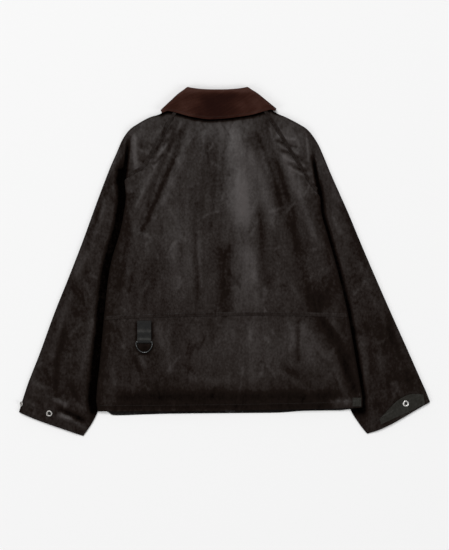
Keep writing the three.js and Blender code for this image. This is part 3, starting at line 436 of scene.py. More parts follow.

# %% [markdown]
# ## Where the wax has worn, with painted light and shade
# Wax rubs off and dulls where cloth stands proud and is handled, and it stays dark and thick in the troughs
# and in the seams. A number from 0 (dark, waxy) to 1 (pale, rubbed) for each point of a panel says that, and
# it also holds painted light: painted shade in the troughs, in the seams, at the body's sides, beside the
# body and below the collar's edge, and painted highlights on the ridges, down the middle of the back, below
# the neck and on the shoulders. It comes from the folds' own height, and from a few broad bands listed in a
# table.

# %% Wear and painted light
# Bands of painted light: above 0 a painted highlight, below 0 painted shade, with some rubbing of the wax in
# the pale band down the middle of the back.
LIGHT_AND_WEAR_BANDS = table(
    "from_x from_y to_x to_y height width bow",
    # A pale band down the middle of the back: painted sheen together with rubbed wax
    (14, 310, 34, 200, 0.19, 26, 0), (38, 200, 40, 70, 0.24, 28, 0), (46, 60, 52, -122, 0.10, 32, 0),
    (40, -132, 66, -300, 0.05, 36, 0), (40, 210, 44, 80, 0.14, 18, 3), (44, 40, 58, -60, 0.10, 14, -3),
    # Painted highlights below the neck, on the left half and on both shoulders
    (-70, 296, 70, 300, 0.05, 20, 6), (-100, 120, -84, -100, 0.07, 40, 0),
    (-150, 300, -205, 255, 0.05, 26, 0), (110, 300, 178, 250, 0.10, 24, 0),
    # Painted shade and painted highlights along the left raglan seam
    (-83, 307, -108, 236, -0.06, 5, 0), (-107, 235, -155, 122, -0.15, 6, 0),
    (-155, 122, -182, 64, -0.14, 6, 0), (-175, 130, -201, 72, 0.11, 9, 0),
    (-94, 310, -119, 239, 0.12, 4, 0), (-102, 313, -127, 242, -0.05, 4, 0),
    (-122, 241, -169, 128, 0.13, 6, 0), (-150, 218, -192, 116, 0.04, 8, 0),
    (-72, 304, -92, 240, 0.06, 6, 0), (-86, 240, -138, 118, 0.08, 9, 0), (-40, 270, -62, 60, -0.08, 14, 3),
    (-116, 300, -160, 226, -0.12, 4, 0),
    # Painted shade and painted highlights along the right raglan seam and down the right half
    (34, 304, 69, 246, -0.04, 6, 0), (80, 246, 112, 172, 0.04, 8, 0), (112, 172, 138, 75, -0.02, 12, 0),
    (92, 316, 111, 230, -0.10, 5, 0), (110, 230, 142, 124, -0.20, 7, 0), (144, 124, 167, 11, -0.16, 11, 0),
    (166, 11, 192, -118, -0.09, 10, 0), (52, 250, 88, 165, 0.15, 15, 0), (85, 166, 111, 69, 0.12, 14, 0),
    (130, 238, 165, 138, 0.22, 8, 0), (142, 238, 176, 138, 0.10, 8, 0), (166, 140, 200, 50, 0.12, 8, 0),
    (-4, 40, 4, -124, -0.12, 13, 2), (78, 120, 96, -60, -0.10, 10, 4), (-160, 20, -190, -110, -0.08, 30, 0),
    (200, -50, 222, -112, -0.20, 24, 0),
    # Painted highlights and painted shade below the cross seam
    (158, -134, 226, -218, 0.13, 9, 0), (142, -146, 210, -236, 0.11, 20, 0),
    (226, -218, 262, -290, 0.10, 9, 0), (206, -116, 256, -190, -0.24, 14, 0),
    (218, -108, 268, -182, 0.09, 6, 0), (250, -190, 288, -290, -0.22, 9, 0),
    (126, -226, 170, -254, -0.13, 10, 3), (60, -140, 130, -240, 0.08, 30, 0),
    (-36, -150, -24, -262, 0.10, 38, 0), (-190, -180, -120, -300, -0.04, 30, 0),
    # Painted highlights on the shoulders' edges and the right side, and painted shade above the hem and on
    # it
    (-203, 274, -196, 196, 0.10, 2.2, 0), (180, 282, 184, 220, 0.16, 2.4, 0),
    (-240, -298, 250, -296, -0.22, 14, 0), (-250, -320, 236, -318, -0.16, 9, 0),
    (230, -306, 282, -308, 0.14, 7, 0), (200, 130, 222, -80, 0.05, 16, 0),
    # Painted shade on the sleeves, and painted glints and shade on the left cuff
    (-320, -20, -380, -240, -0.04, 20, 0), (300, -20, 370, -200, -0.06, 20, 0),
    (330, -240, 420, -290, -0.06, 50, 0), (-378, -300, -343, -319, 0.17, 4.5, 0),
    (-365, -323, -306, -351, -0.30, 5.5, 0), (-368, -338, -330, -348, 0.15, 4.5, 0),
    (-330, -352, -306, -368, 0.18, 4, 0), (-400, -250, -372, -290, -0.06, 14, 0),
    # Painted shadow round the webbing loop and under the ring, and painted light beside and below it
    (-193, -134, -193, -172, -0.22, 2.5, 0), (-159, -134, -159, -172, -0.22, 2.5, 0),
    (-188, -190, -164, -190, -0.26, 9, 0), (-194, -182, -190, -198, -0.2, 3, 0),
    (-162, -198, -158, -182, -0.2, 3, 0), (-188, -203, -164, -203, -0.26, 4, -2),
    (-146, -134, -136, -190, 0.12, 9, 0), (-184, -206, -170, -232, 0.10, 3, 1))
PLAIN_WEAR = 0.4
# The base tones. shoulder, up_back and up_sleeve are painted light: paler at the shoulders and towards the
# neck, where the light from behind the collar falls. ridge, crease and fine make the folds' crests paler and
# their troughs darker: rubbing of the wax together with painted shade.
WEAR_AND_LIGHT = {
    "back": 0.375, "sleeve": 0.35, "shoulder": 0.02, "bands": 0.9,
    "ridge": 0.012, "crease": 0.15, "fine": 0.32,
    "low_y": -330.0, "up_back": 0.05, "up_back_run": 600.0, "up_sleeve": 0.04, "up_sleeve_run": 500.0}
# Painted shade on the back towards its rolled sides.
SIDE_SHADE = {"broad": 0.10, "broad_reach": 46.0, "narrow": 0.05, "narrow_reach": 6.0, "top_y": 150.0}
# A painted shadow, nearly black, on each sleeve beside the body.
SHADOW_BESIDE_BODY = {
    "dark": 0.50, "hold": {"left": 10.0, "right": 1.0}, "width": {"left": 16.0, "right": 13.0},
    "inner": 9.0, "inner_ramp": 8.0, "underarm": 10.0, "underarm_ramp": 20.0,
    "thin": 1.0, "thin_ramp": 6.0, "thin_above": 60.0, "above": 100.0, "above_ramp": 40.0,
    "hem_y": -348.0, "hem_ramp": 26.0, "past_hem": 0.1}
SLEEVE_TOP = {
    "y": 40.0, "ramp": 140.0, "shoulder_y": 190.0, "shoulder_ramp": 70.0, "in": 20.0, "in_ramp": 30.0}
# A painted shadow below the collar's edge.
COLLAR_SHADOW = {"dark": 0.5, "width": 4.0, "below": 2.0}


def wear_and_light_of(x, y, base):
    """base, paler on the folds' crests and darker in their troughs, plus the bands: rubbing of the wax
    together with painted highlight and painted shade.
    """
    relief = WEAR_AND_LIGHT["ridge"] * bells(FOLDS, x, y) + WEAR_AND_LIGHT["crease"] * bells(SMALL_FOLDS, x, y)
    relief = relief + WEAR_AND_LIGHT["fine"] * bells(CREASES, x, y)
    return np.clip(base + WEAR_AND_LIGHT["bands"] * bells(LIGHT_AND_WEAR_BANDS, x, y) + relief, 0, 1)


def collar_edge_y(x):
    """The lower edge of the collar's back leaf."""
    return curve(COLLAR_EDGE, "at", "y", (x - COLLAR["fall_x"]) / COLLAR["fall_half"])


def collar_shadow(x, y):
    """A painted shadow on the cloth below the collar's edge: a bell just below the edge, full above it."""
    past = np.clip(collar_edge_y(x) - COLLAR_SHADOW["below"] - y, 0, None)
    return COLLAR_SHADOW["dark"] * np.exp(-((past / COLLAR_SHADOW["width"]) ** 2))


def back_wear_and_light(grid):
    """The back's tone: darker towards both rolled sides and below the collar's edge, painted shade, and
    paler towards the neck, painted light.
    """
    x, y = grid[..., 0], grid[..., 1]
    reach = from_sides(x, y)
    # Painted shade towards the rolled sides.
    side = SIDE_SHADE["broad"] * (1 - ease(reach / SIDE_SHADE["broad_reach"]))
    side = side + SIDE_SHADE["narrow"] * (1 - ease(reach / SIDE_SHADE["narrow_reach"]))
    # Paler towards the neck: painted light.
    up = WEAR_AND_LIGHT["up_back"] * ease((y - WEAR_AND_LIGHT["low_y"]) / WEAR_AND_LIGHT["up_back_run"])
    return wear_and_light_of(x, y, WEAR_AND_LIGHT["back"] - side * (y < SIDE_SHADE["top_y"]) + up) - collar_shadow(x, y)


def painted_shadow_beside_body(side, x, y):
    """The painted shadow, nearly black, on a sleeve beside the body: eased out outwards, up the shoulder and
    below the hem."""
    shade, over_underarm = SHADOW_BESIDE_BODY, y - underarm_y(side)
    from_body = (x - side_x(side, y)) * OUTWARD[side]
    outwards = 1 - ease((from_body - shade["hold"][side]) / shade["width"][side])
    inner = ease((from_body + shade["inner"]) / shade["inner_ramp"])
    inner = mix(1, inner, ease((over_underarm + shade["underarm"]) / shade["underarm_ramp"]))
    thin = 1 - ease((from_body - shade["thin"]) / shade["thin_ramp"])
    thin = mix(1, thin, ease(over_underarm / shade["thin_above"]))
    above = ease((shade["above"] - over_underarm) / shade["above_ramp"])
    past_hem = mix(shade["past_hem"], 1, ease((y - shade["hem_y"]) / shade["hem_ramp"]))
    return shade["dark"] * outwards * inner * thin * above * past_hem


def sleeve_wear_and_light(side, grid):
    """A sleeve's tone: like the back's at the shoulder, with a painted highlight there, and a painted
    shadow, nearly black, in a band beside the body.
    """
    x, y = grid[..., 0], grid[..., 1]
    base = mix(WEAR_AND_LIGHT["sleeve"], WEAR_AND_LIGHT["back"], ease((y - SLEEVE_TOP["y"]) / SLEEVE_TOP["ramp"]))
    # Paler at the shoulder: painted highlight.
    shoulder = ease((y - SLEEVE_TOP["shoulder_y"]) / SLEEVE_TOP["shoulder_ramp"])
    shoulder = shoulder * ease((side_x(side, y) - x + SLEEVE_TOP["in"]) / SLEEVE_TOP["in_ramp"])
    up = WEAR_AND_LIGHT["up_sleeve"] * ease((y - WEAR_AND_LIGHT["low_y"]) / WEAR_AND_LIGHT["up_sleeve_run"])
    # Minus the painted shadow beside the body.
    base = base + WEAR_AND_LIGHT["shoulder"] * shoulder + up - painted_shadow_beside_body(side, x, y)
    return wear_and_light_of(x, y, base) - collar_shadow(x, y)


print("wear of the back in its middle:", back_wear_and_light(np.array([[[30.0, 100.0, 0.0]]])).round(2).ravel())

# %% [markdown]
# ## Making a wall
# A panel is two grids of points: its outer face, and the same grid moved in along its normals by the
# thickness of the cloth. Both faces and a band round the rim close it. The map of each piece measures real
# length along its rows and columns, so that a weave drawn on it keeps its scale.


# %% Mesh helpers
def grid_normals(grid):
    """The unit normal at each point, from the run to its neighbours along and across, turned to point up."""
    along = np.gradient(grid, axis=0)
    across = np.gradient(grid, axis=1)
    normals = np.cross(across, along)
    normals = normals / np.maximum(np.linalg.norm(normals, axis=2, keepdims=True), 1e-9)
    return normals * np.sign(normals[..., 2].sum())


def length_map(grid):
    """The distance in metres along the rows and the columns of a grid, for a pattern at real size."""
    across = np.linalg.norm(np.diff(grid, axis=1), axis=2)
    along = np.linalg.norm(np.diff(grid, axis=0), axis=2)
    u = np.concatenate([np.zeros((len(grid), 1)), np.cumsum(across, axis=1)], axis=1)
    v = np.concatenate([np.zeros((1, grid.shape[1])), np.cumsum(along, axis=0)], axis=0)
    return np.stack([u - u.mean(axis=1, keepdims=True), v], axis=2) * MM


def make_mesh(name, points, faces, uv=None, sharp=50.0, wear_and_light=None):
    """Points in millimetres and faces of four corners become a smooth mesh in metres whose faces point
    out."""
    mesh = bpy.data.meshes.new(name)
    corners = points[faces]
    middle = points.mean(axis=0)
    spans = np.cross(corners[:, 2] - corners[:, 0], corners[:, 3] - corners[:, 1])
    if np.einsum("ij,ij->", corners.mean(axis=1) - middle, spans) < 0:
        faces = faces[:, ::-1]
    mesh.from_pydata((points * MM).tolist(), [], faces.tolist())
    if uv is not None:
        layer = mesh.uv_layers.new(name="cloth")
        layer.data.foreach_set("uv", uv[faces.ravel()].astype(np.float32).ravel())
    if wear_and_light is not None:
        layer = mesh.attributes.new("wear_and_light", "FLOAT", "POINT")
        layer.data.foreach_set("value", wear_and_light.astype(np.float32).ravel())
    mesh.polygons.foreach_set("use_smooth", np.ones(len(faces), bool))
    mesh.set_sharp_from_angle(angle=np.radians(sharp))
    mesh.update()
    piece = bpy.data.objects.new(name, mesh)
    bpy.context.scene.collection.objects.link(piece)
    return piece


def shell(name, outer, inner, wear_and_light=None):
    """A closed wall between two grids: both faces, and a band of faces round the rim. Its map of rubbing,
    painted highlight and painted shade has a value for each point of the outer grid."""
    rows, columns = outer.shape[:2]
    index = np.arange(rows * columns).reshape(rows, columns)
    corners = index[:-1, :-1], index[:-1, 1:], index[1:, 1:], index[1:, :-1]
    top = np.stack(corners, axis=-1).reshape(-1, 4)
    rim = np.concatenate([index[0], index[1:, -1], index[-1, -2::-1], index[-2:0:-1, 0]])
    after = np.roll(rim, -1)
    shift = rows * columns
    band = np.stack([after, rim, rim + shift, after + shift], axis=1)
    faces = np.concatenate([top, top[:, ::-1] + shift, band])
    uv = np.tile(length_map(outer).reshape(-1, 2), (2, 1))
    points = np.concatenate([outer.reshape(-1, 3), inner.reshape(-1, 3)])
    # A plain value where no map of rubbing and painted light is given.
    worn = np.full(outer.shape[:2], PLAIN_WEAR) if wear_and_light is None else wear_and_light
    piece = make_mesh(name, points, faces, uv, wear_and_light=np.tile(worn.ravel(), 2))
    print(name, "has", 2 * len(faces), "triangles")
    return piece


def wall(name, outer, thickness=CLOTH, wear_and_light=None):
    """A wall whose outer face is the grid, moved in along its normals by its thickness."""
    return shell(name, outer, outer - grid_normals(outer) * thickness, wear_and_light)


def floor_wall(name, under, thickness=CLOTH):
    """A wall that lies on the surface: the grid is its underside."""
    return shell(name, under + np.array([0, 0, thickness]), under)


def from_edge(grid, distance, lift=0.12):
    """The points of a grid that lie that far from its first row, measured along each column, raised by
    lift."""
    steps = np.linalg.norm(np.diff(grid, axis=0), axis=2)
    reach = np.concatenate([np.zeros((1, grid.shape[1])), np.cumsum(steps, axis=0)])
    k = (reach < distance).sum(axis=0) - 1
    column = np.arange(grid.shape[1])
    t = (distance - reach[k, column]) / (reach[k + 1, column] - reach[k, column])
    return mix(grid[k, column], grid[k + 1, column], t[:, None]) + np.array([0, 0, lift])


def half_area(grid):
    """The area of one face of a grid in square metres: half the cross product of each cell's diagonals."""
    first, second = grid[1:, 1:] - grid[:-1, :-1], grid[1:, :-1] - grid[:-1, 1:]
    return float(np.linalg.norm(np.cross(first, second), axis=2).sum() / 2 * MM * MM)


# %% [markdown]
# ## Waxed cotton
# Waxed cotton is a tight plain weave soaked in wax. It is almost black where the wax is thick, and it
# lightens and dulls where it is rubbed. A picture of cloth could be wrapped round the panels, but a
# Principled shader with procedural patterns stays sharp at any distance. The map of rubbing and painted
# light and a few layers of noise add up to one number, a ramp turns that number into one of three browns,
# and the shine grows with it, so that the sheen breaks up and fades in the painted shade. The weave, the
# creases and the rumples are bump, because they are finer than the panels' vertices.


# %% Material helpers
NOISE_RANGE = {"low": 0.3, "high": 0.7}


def new_finish(name):
    """An empty material with a Principled shader: the material, its node tree and the shader's inputs."""
    material = bpy.data.materials.new(name)
    material.use_nodes = True
    tree = material.node_tree
    return material, tree, tree.nodes["Principled BSDF"].inputs


def fill_inputs(tree, inputs, values):
    """Each input, by its name or its number, is linked to a socket, or set to a number or a colour."""
    for name, value in values.items():
        if isinstance(value, bpy.types.NodeSocket):
            tree.links.new(value, inputs[name])
        else:
            inputs[name].default_value = value


def add_node(tree, kind, output, values):
    """A new node of that kind with its inputs filled, and the socket that it gives."""
    node = tree.nodes.new(kind)
    fill_inputs(tree, node.inputs, values)
    return node.outputs[output]


def noise_node(tree, source, scale, detail=4.0, stretch=(1, 1, 1)):
    """A noise of that many features to the metre, stretched along the axes."""
    placed = add_node(tree, "ShaderNodeMapping", "Vector", {"Vector": source, "Scale": stretch})
    return add_node(tree, "ShaderNodeTexNoise", "Fac", {"Vector": placed, "Scale": scale, "Detail": detail})


def wave_node(tree, source, scale, direction):
    """Parallel ribs across one direction of the map: 20 * scale / (2 * pi) of them to the metre."""
    node = tree.nodes.new("ShaderNodeTexWave")
    node.bands_direction = direction
    fill_inputs(tree, node.inputs, {"Vector": source, "Scale": scale})
    return node.outputs["Fac"]


def math_node(tree, kind, *values):
    """One sum, product or the like of sockets and numbers."""
    node = tree.nodes.new("ShaderNodeMath")
    node.operation = kind
    fill_inputs(tree, node.inputs, dict(enumerate(values)))
    return node.outputs["Value"]


def range_node(tree, source, low, high):
    """Maps the range where most of a noise lies to the range from low to high."""
    return add_node(tree, "ShaderNodeMapRange", "Result", {
        "Value": source, "From Min": NOISE_RANGE["low"], "From Max": NOISE_RANGE["high"], "To Min": low,
        "To Max": high})


def ramp_node(tree, source, stops):
    """A colour ramp through the stops, each a place and a colour."""
    node = tree.nodes.new("ShaderNodeValToRGB")
    elements = node.color_ramp.elements
    while len(elements) < len(stops):
        elements.new(0.5)
    for element, (place, colour) in zip(elements, stops):
        element.position = place
        element.color = (*colour, 1)
    tree.links.new(source, node.inputs["Fac"])
    return node.outputs["Color"]


def wear_and_light_node(tree):
    """The piece's map from 0, dark, to 1, pale: rubbing of the wax together with painted highlight and
    painted shade.
    """
    node = tree.nodes.new("ShaderNodeAttribute")
    node.attribute_name = "wear_and_light"
    return node.outputs["Fac"]


def add_layers(tree, tone, *layers):
    """The tone plus each pattern, centred on 0, times its share."""
    for pattern, share in layers:
        tone = math_node(tree, "MULTIPLY_ADD", math_node(tree, "SUBTRACT", pattern, 0.5), share, tone)
    return tone


def bump_layers(tree, *layers):
    """Bumps laid over one another, each a pattern, a strength and a depth in metres."""
    values = {}
    for pattern, strength, depth in layers:
        values.update({"Height": pattern, "Strength": strength, "Distance": depth})
        values["Normal"] = add_node(tree, "ShaderNodeBump", "Normal", values)
    return values["Normal"]


def plain_weave(tree, source, warp, weft):
    """The product of two waves across the cloth's map: high where warp and weft cross."""
    waves = wave_node(tree, source, warp, "X"), wave_node(tree, source, weft, "Y")
    return math_node(tree, "MULTIPLY", *waves)


# %% Waxed cotton material
WAX_LAYERS = table(
    "scale detail stretch share",
    (11, 8, 0.5, 0.10), (34, 7, 0.6, 0.10), (100, 5, 0.7, 0.15), (70, 5, 0.12, 0.14), (230, 4, 0.7, 0.27))
WAX_LOOK = {
    "mid": 0.42, "worn": 0.95, "shine": (0.0, 0.42), "rough": (0.40, 0.58),
    "sheen": 0.004, "sheen_rough": 0.45, "warp": 420, "weft": 380}
WAX_NOISES = {
    "handled": (26, 7, (1, 0.6, 1)), "rumpled": (24, 5, (1, 0.45, 1)), "creased": (70, 8, (1, 0.5, 1))}
WAX_BUMPS = {"rumpled": (0.4, 0.003), "creased": (0.5, 0.0015), "thread": (0.35, 0.00012)}


def waxed_cotton(name, dark, mid, worn):
    """Waxed plain weave: the map of rubbing and painted light, patches, streaks and flecks choose between
    three browns, and bump gives the rumples, the creases and the weave."""
    material, tree, shader = new_finish(name)
    place = tree.nodes.new("ShaderNodeTexCoord").outputs
    layers = [
        (noise_node(tree, place["Object"], scale, detail, (1, stretch, 1)), share)
        for scale, detail, stretch, share in zip(*WAX_LAYERS.values())]
    tone = add_layers(tree, wear_and_light_node(tree), *layers)
    patterns = {noise: noise_node(tree, place["Object"], *row) for noise, row in WAX_NOISES.items()}
    patterns["thread"] = plain_weave(tree, place["UV"], WAX_LOOK["warp"], WAX_LOOK["weft"])
    bumps = [(patterns[pattern], *row) for pattern, row in WAX_BUMPS.items()]
    fill_inputs(tree, shader, {
        "Base Color": ramp_node(tree, tone, ((0.0, dark), (WAX_LOOK["mid"], mid), (WAX_LOOK["worn"], worn))),
        "Specular IOR Level": range_node(tree, tone, *WAX_LOOK["shine"]),
        "Roughness": range_node(tree, patterns["handled"], *WAX_LOOK["rough"]),
        "Sheen Weight": WAX_LOOK["sheen"], "Sheen Roughness": WAX_LOOK["sheen_rough"],
        "Normal": bump_layers(tree, *bumps)})
    return material


# The darkest brown is near black, for thick wax and for the painted shadow beside the body; the palest is
# reached by rubbing and by painted highlights.
WAX = waxed_cotton(
    "waxed_cotton", (0.0008, 0.0005, 0.0004), (0.0140, 0.0094, 0.0076), (0.060, 0.0492, 0.0472))
# A darker copy of the waxed cotton for the fronts and the sleeves' lower layers, which lie under the back:
# painted shade.
WAX_SHADED = waxed_cotton(
    "waxed_cotton_shaded", (0.002, 0.0015, 0.0013), (0.0045, 0.0034, 0.003), (0.01, 0.008, 0.007))
TAB = waxed_cotton("cuff_tab", (0.0075, 0.0070, 0.0057), (0.0195, 0.0182, 0.0150), (0.048, 0.045, 0.039))
print("cloth materials:", WAX.name, WAX_SHADED.name, TAB.name)

# %% [markdown]
# ## Needlecord, webbing, thread and metal
# Needlecord is a pile cloth cut into fine ribs. The ribs follow the length of the collar, so they are
# drawn on the collar's own map. Pile scatters light back at grazing angles, which the sheen gives. Webbing
# is a coarser plain weave, and the thread is a shade lighter than the cloth. The studs are nickel and the
# ring is dark plated wire, both a little scuffed.


# %% Other materials
CORD_TONES = (
    (0.15, (0.0150, 0.0030, 0.0014)), (0.5, (0.036, 0.0108, 0.0062)), (0.85, (0.070, 0.031, 0.0235)))
CORD_LOOK = {
    "rough": 0.88, "shine": 0.1, "sheen": 0.05, "sheen_rough": 0.35, "sheen_tint": (0.5, 0.25, 0.18, 1),
    "ribs": 230, "pile": (60, 7, (0.5, 1.6, 1)), "nap": (24, 5, (0.7, 1, 1))}
CORD_SHARES = {"ribs": 0.26, "pile": 0.5, "nap": 1.0}
CORD_BUMPS = {"nap": (0.5, 0.004), "ribs": (0.7, 0.0005), "pile": (0.4, 0.0003)}
TAPE_LOOK = {
    "warp": 150, "weft": 240, "weave": 0.4, "worn": (160, 6), "worn_share": 0.7, "rough": 0.72, "shine": 0.3,
    "bump": (0.8, 0.0004)}
METAL_LOOK = {"spots": (190, 5), "scuffs": (900, 4, (1, 0.2, 1)), "bump": (0.15, 0.0001)}
# black serves dark tarnish spots and the painted shade in a stud's sunk middle.
METAL_STOPS = {"black": (0.05, 0.04), "tarnished": (0.35, 0.6), "bright": (0.6, 1.0)}


def needlecord():
    """Ribs from a wave along the collar's map, darker between the ribs, with patchy pile and a soft
    sheen."""
    material, tree, shader = new_finish("needlecord")
    place = tree.nodes.new("ShaderNodeTexCoord").outputs
    patterns = {
        "ribs": wave_node(tree, place["UV"], CORD_LOOK["ribs"], "Y"),
        "pile": noise_node(tree, place["UV"], *CORD_LOOK["pile"]),
        "nap": noise_node(tree, place["Object"], *CORD_LOOK["nap"])}
    layers = [(patterns[pattern], share) for pattern, share in CORD_SHARES.items()]
    bumps = [(patterns[pattern], *row) for pattern, row in CORD_BUMPS.items()]
    fill_inputs(tree, shader, {
        "Base Color": ramp_node(tree, add_layers(tree, wear_and_light_node(tree), *layers), CORD_TONES),
        "Roughness": CORD_LOOK["rough"], "Specular IOR Level": CORD_LOOK["shine"],
        "Sheen Weight": CORD_LOOK["sheen"], "Sheen Roughness": CORD_LOOK["sheen_rough"],
        "Sheen Tint": CORD_LOOK["sheen_tint"], "Normal": bump_layers(tree, *bumps)})
    return material


def woven_tape(name, dark, light, wear_and_light_share=0.0):
    """Webbing: a coarse weave of two waves, with worn high threads. With a share, the piece's map of rubbing
    and painted light lightens and darkens it."""
    material, tree, shader = new_finish(name)
    place = tree.nodes.new("ShaderNodeTexCoord").outputs
    thread = plain_weave(tree, place["UV"], TAPE_LOOK["warp"], TAPE_LOOK["weft"])
    worn = noise_node(tree, place["Object"], *TAPE_LOOK["worn"])
    worn = math_node(tree, "MULTIPLY", worn, TAPE_LOOK["worn_share"])
    tone = math_node(tree, "MULTIPLY_ADD", thread, TAPE_LOOK["weave"], worn)
    if wear_and_light_share:
        tape_rub_and_light = math_node(tree, "SUBTRACT", wear_and_light_node(tree), PLAIN_WEAR)
        tone = math_node(tree, "MULTIPLY_ADD", tape_rub_and_light, wear_and_light_share, tone)
    fill_inputs(tree, shader, {
        "Base Color": ramp_node(tree, tone, ((0.25, dark), (0.75, light))), "Roughness": TAPE_LOOK["rough"],
        "Specular IOR Level": TAPE_LOOK["shine"], "Normal": bump_layers(tree, (thread, *TAPE_LOOK["bump"]))})
    return material


def plated_metal(name, colour, rough, scuff, shade_recess=False):
    """Plated metal: one colour that tarnish darkens in spots, and fine scuffs in its roughness. When the
    last argument is set, the piece's map is 0 in a recess and paints it near black: painted shade."""
    material, tree, shader = new_finish(name)
    place = tree.nodes.new("ShaderNodeTexCoord").outputs
    spots = noise_node(tree, place["Object"], *METAL_LOOK["spots"])
    scuffs = noise_node(tree, place["Object"], *METAL_LOOK["scuffs"])
    # Painted shade: the map turns a stud's sunk middle near black.
    if shade_recess:
        spots = math_node(tree, "MULTIPLY", spots, wear_and_light_node(tree))
    stops = [(stop, tuple(share * value for value in colour)) for stop, share in METAL_STOPS.values()]
    fill_inputs(tree, shader, {
        "Base Color": ramp_node(tree, spots, stops), "Metallic": 1.0,
        "Roughness": range_node(tree, scuffs, rough, rough + scuff),
        "Normal": bump_layers(tree, (scuffs, *METAL_LOOK["bump"]))})
    return material


CORD = needlecord()
TAPE = woven_tape("webbing", (0.0035, 0.0035, 0.0032), (0.046, 0.0445, 0.041), 1.1)
THREAD = woven_tape("thread", (0.010, 0.008, 0.007), (0.034, 0.028, 0.025))
NICKEL = plated_metal("nickel", (0.86, 0.84, 0.81), 0.30, 0.16, True)
# A darker copy of the nickel for the two left studs: painted shade.
SHADED_NICKEL = plated_metal("nickel_shaded", (0.50, 0.48, 0.46), 0.38, 0.18, True)
GUNMETAL = plated_metal("gunmetal", (0.10, 0.104, 0.104), 0.22, 0.14)


def finish_piece(piece, material, slot, *nodes, body="root"):
    """Gives a piece its finish, the body that it rides on, and the CAD nodes that it stands for."""
    piece.data.materials.append(material)
    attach(piece, body)
    if nodes:
        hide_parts(*nodes)
    return piece


print("metals and tapes:", NICKEL.name, GUNMETAL.name, TAPE.name)

# %% [markdown]
# ## The collar
# The collar is one strip of needlecord folded over itself: the stand goes up inside, rolls over at the
# top, and the fall comes down outside. Laid flat it is a flattened ring, with the back leaf on top and the
# two front leaves beneath. Its section, a U on its side, is carried round that ring.

# %% Collar sizes and shape
COLLAR_LEAN = np.array([[-0.674, 0.738], [0.644, 0.765]])
COLLAR_MIDDLE = (COLLAR["outer"] + COLLAR["inner"]) / 2
COLLAR_BEND = (COLLAR["outer"] - COLLAR["inner"]) / 2
COLLAR_STEPS = {"stand": 8, "bend": 14, "fall": 30, "front": 26, "side": 12, "back": 90}
LEAN_SHARE = 2.5
COLLAR_RUB_AND_LIGHT = {
    "plain": 0.53, "right": 0.10, "right_x": 10.0, "right_ramp": 40.0,
    "dark": 0.36, "dark_x": -8.0, "dark_width": 52.0, "dark_top_y": 382.0, "dark_ramp": 22.0,
    "roll": 0.46, "roll_y": 379.0, "roll_width": 9.0, "edge": 0.10, "edge_above": 3.0, "edge_width": 4.0}
BACK_NECK = {"left": -0.82, "right": 0.86}


def collar_point(at, down, out, turn):
    """A point of the collar: down the line from the roll to the edge, then out from the ring at the angle
    turn."""
    roll_x = COLLAR["roll_x"] + COLLAR["roll_half"] * at
    roll_y = COLLAR["roll_y"] + COLLAR["roll_corner"] * np.abs(at) ** COLLAR["roll_power"]
    fall_x = COLLAR["fall_x"] + COLLAR["fall_half"] * at
    fall_y = curve(COLLAR_EDGE, "at", "y", at)
    share = down / np.hypot(fall_x - roll_x, fall_y - roll_y)
    lean = COLLAR_LEAN[(np.asarray(at) >= 0).astype(int)]
    reach = COLLAR["ring"] + out
    spread = reach * np.cos(turn)
    x = mix(roll_x, fall_x, share) + lean[..., 0] * spread
    eased_lean = lean[..., 1] * mix(COLLAR["lean_at_roll"], 1, ease(share * LEAN_SHARE))
    y = mix(roll_y, fall_y, share) + eased_lean * spread
    z = COLLAR["ring"] + COLLAR["outer"] + reach * np.sin(turn)
    return np.stack(np.broadcast_arrays(x, y, z), axis=-1)


def collar_length(at):
    """The length of the fall from its roll to its edge."""
    run_x = COLLAR["fall_x"] + COLLAR["fall_half"] * at - COLLAR["roll_x"] - COLLAR["roll_half"] * at
    roll_y = COLLAR["roll_y"] + COLLAR["roll_corner"] * np.abs(at) ** COLLAR["roll_power"]
    return np.hypot(run_x, curve(COLLAR_EDGE, "at", "y", at) - roll_y)


def neck_point(at):
    """Where the cloth meets the stand's lower edge."""
    return collar_point(np.asarray(at, float), COLLAR["stand"] + 2 * SEAM, 0.0, np.pi / 2)


def collar_face(around, turn, short, out):
    """One face of the collar: the U-shaped section at every place round the ring."""
    middle, bend, many = COLLAR_MIDDLE, COLLAR_BEND, COLLAR_STEPS
    radius = bend if out > 0 else bend - CORD_CLOTH
    arc = np.pi * np.linspace(0, 1, many["bend"])
    stand = np.linspace(COLLAR["stand"], bend, many["stand"])[:-1]
    fall = np.linspace(0, 1, many["fall"])[1:]
    length = (collar_length(around) - short)[:, None]
    down = np.concatenate([
        np.broadcast_to(stand, (len(around), len(stand))),
        np.broadcast_to(bend - radius * np.sin(arc), (len(around), len(arc))),
        mix(bend, length, fall[None, :])], axis=1)
    offset = np.concatenate([
        0 * stand + middle - radius, middle - radius * np.cos(arc), 0 * fall + middle + radius])
    at = np.broadcast_to(around[:, None], down.shape)
    return collar_point(at, down, np.broadcast_to(offset, down.shape), turn[:, None])


def collar_places():
    """The places round the ring: the front leaves, both side folds and the back, with the angle at each."""
    gap, short, quarter = COLLAR["front_gap"], COLLAR["front_short"], np.pi / 2
    side = COLLAR_STEPS["side"]
    front, back = np.linspace(gap, 1, COLLAR_STEPS["front"]), np.linspace(-1, 1, COLLAR_STEPS["back"])
    bend = np.linspace(-quarter, quarter, side + 2)[1:-1]
    eased = short * (quarter - bend) / np.pi
    around = np.concatenate([-front, np.full(side, -1.0), back, np.full(side, 1.0), front[::-1]])
    turn = np.concatenate([0 * front - quarter, bend, 0 * back + quarter, bend[::-1], 0 * front - quarter])
    trim = np.concatenate([0 * front + short, eased, 0 * back, eased[::-1], 0 * front + short])
    return around, turn, trim


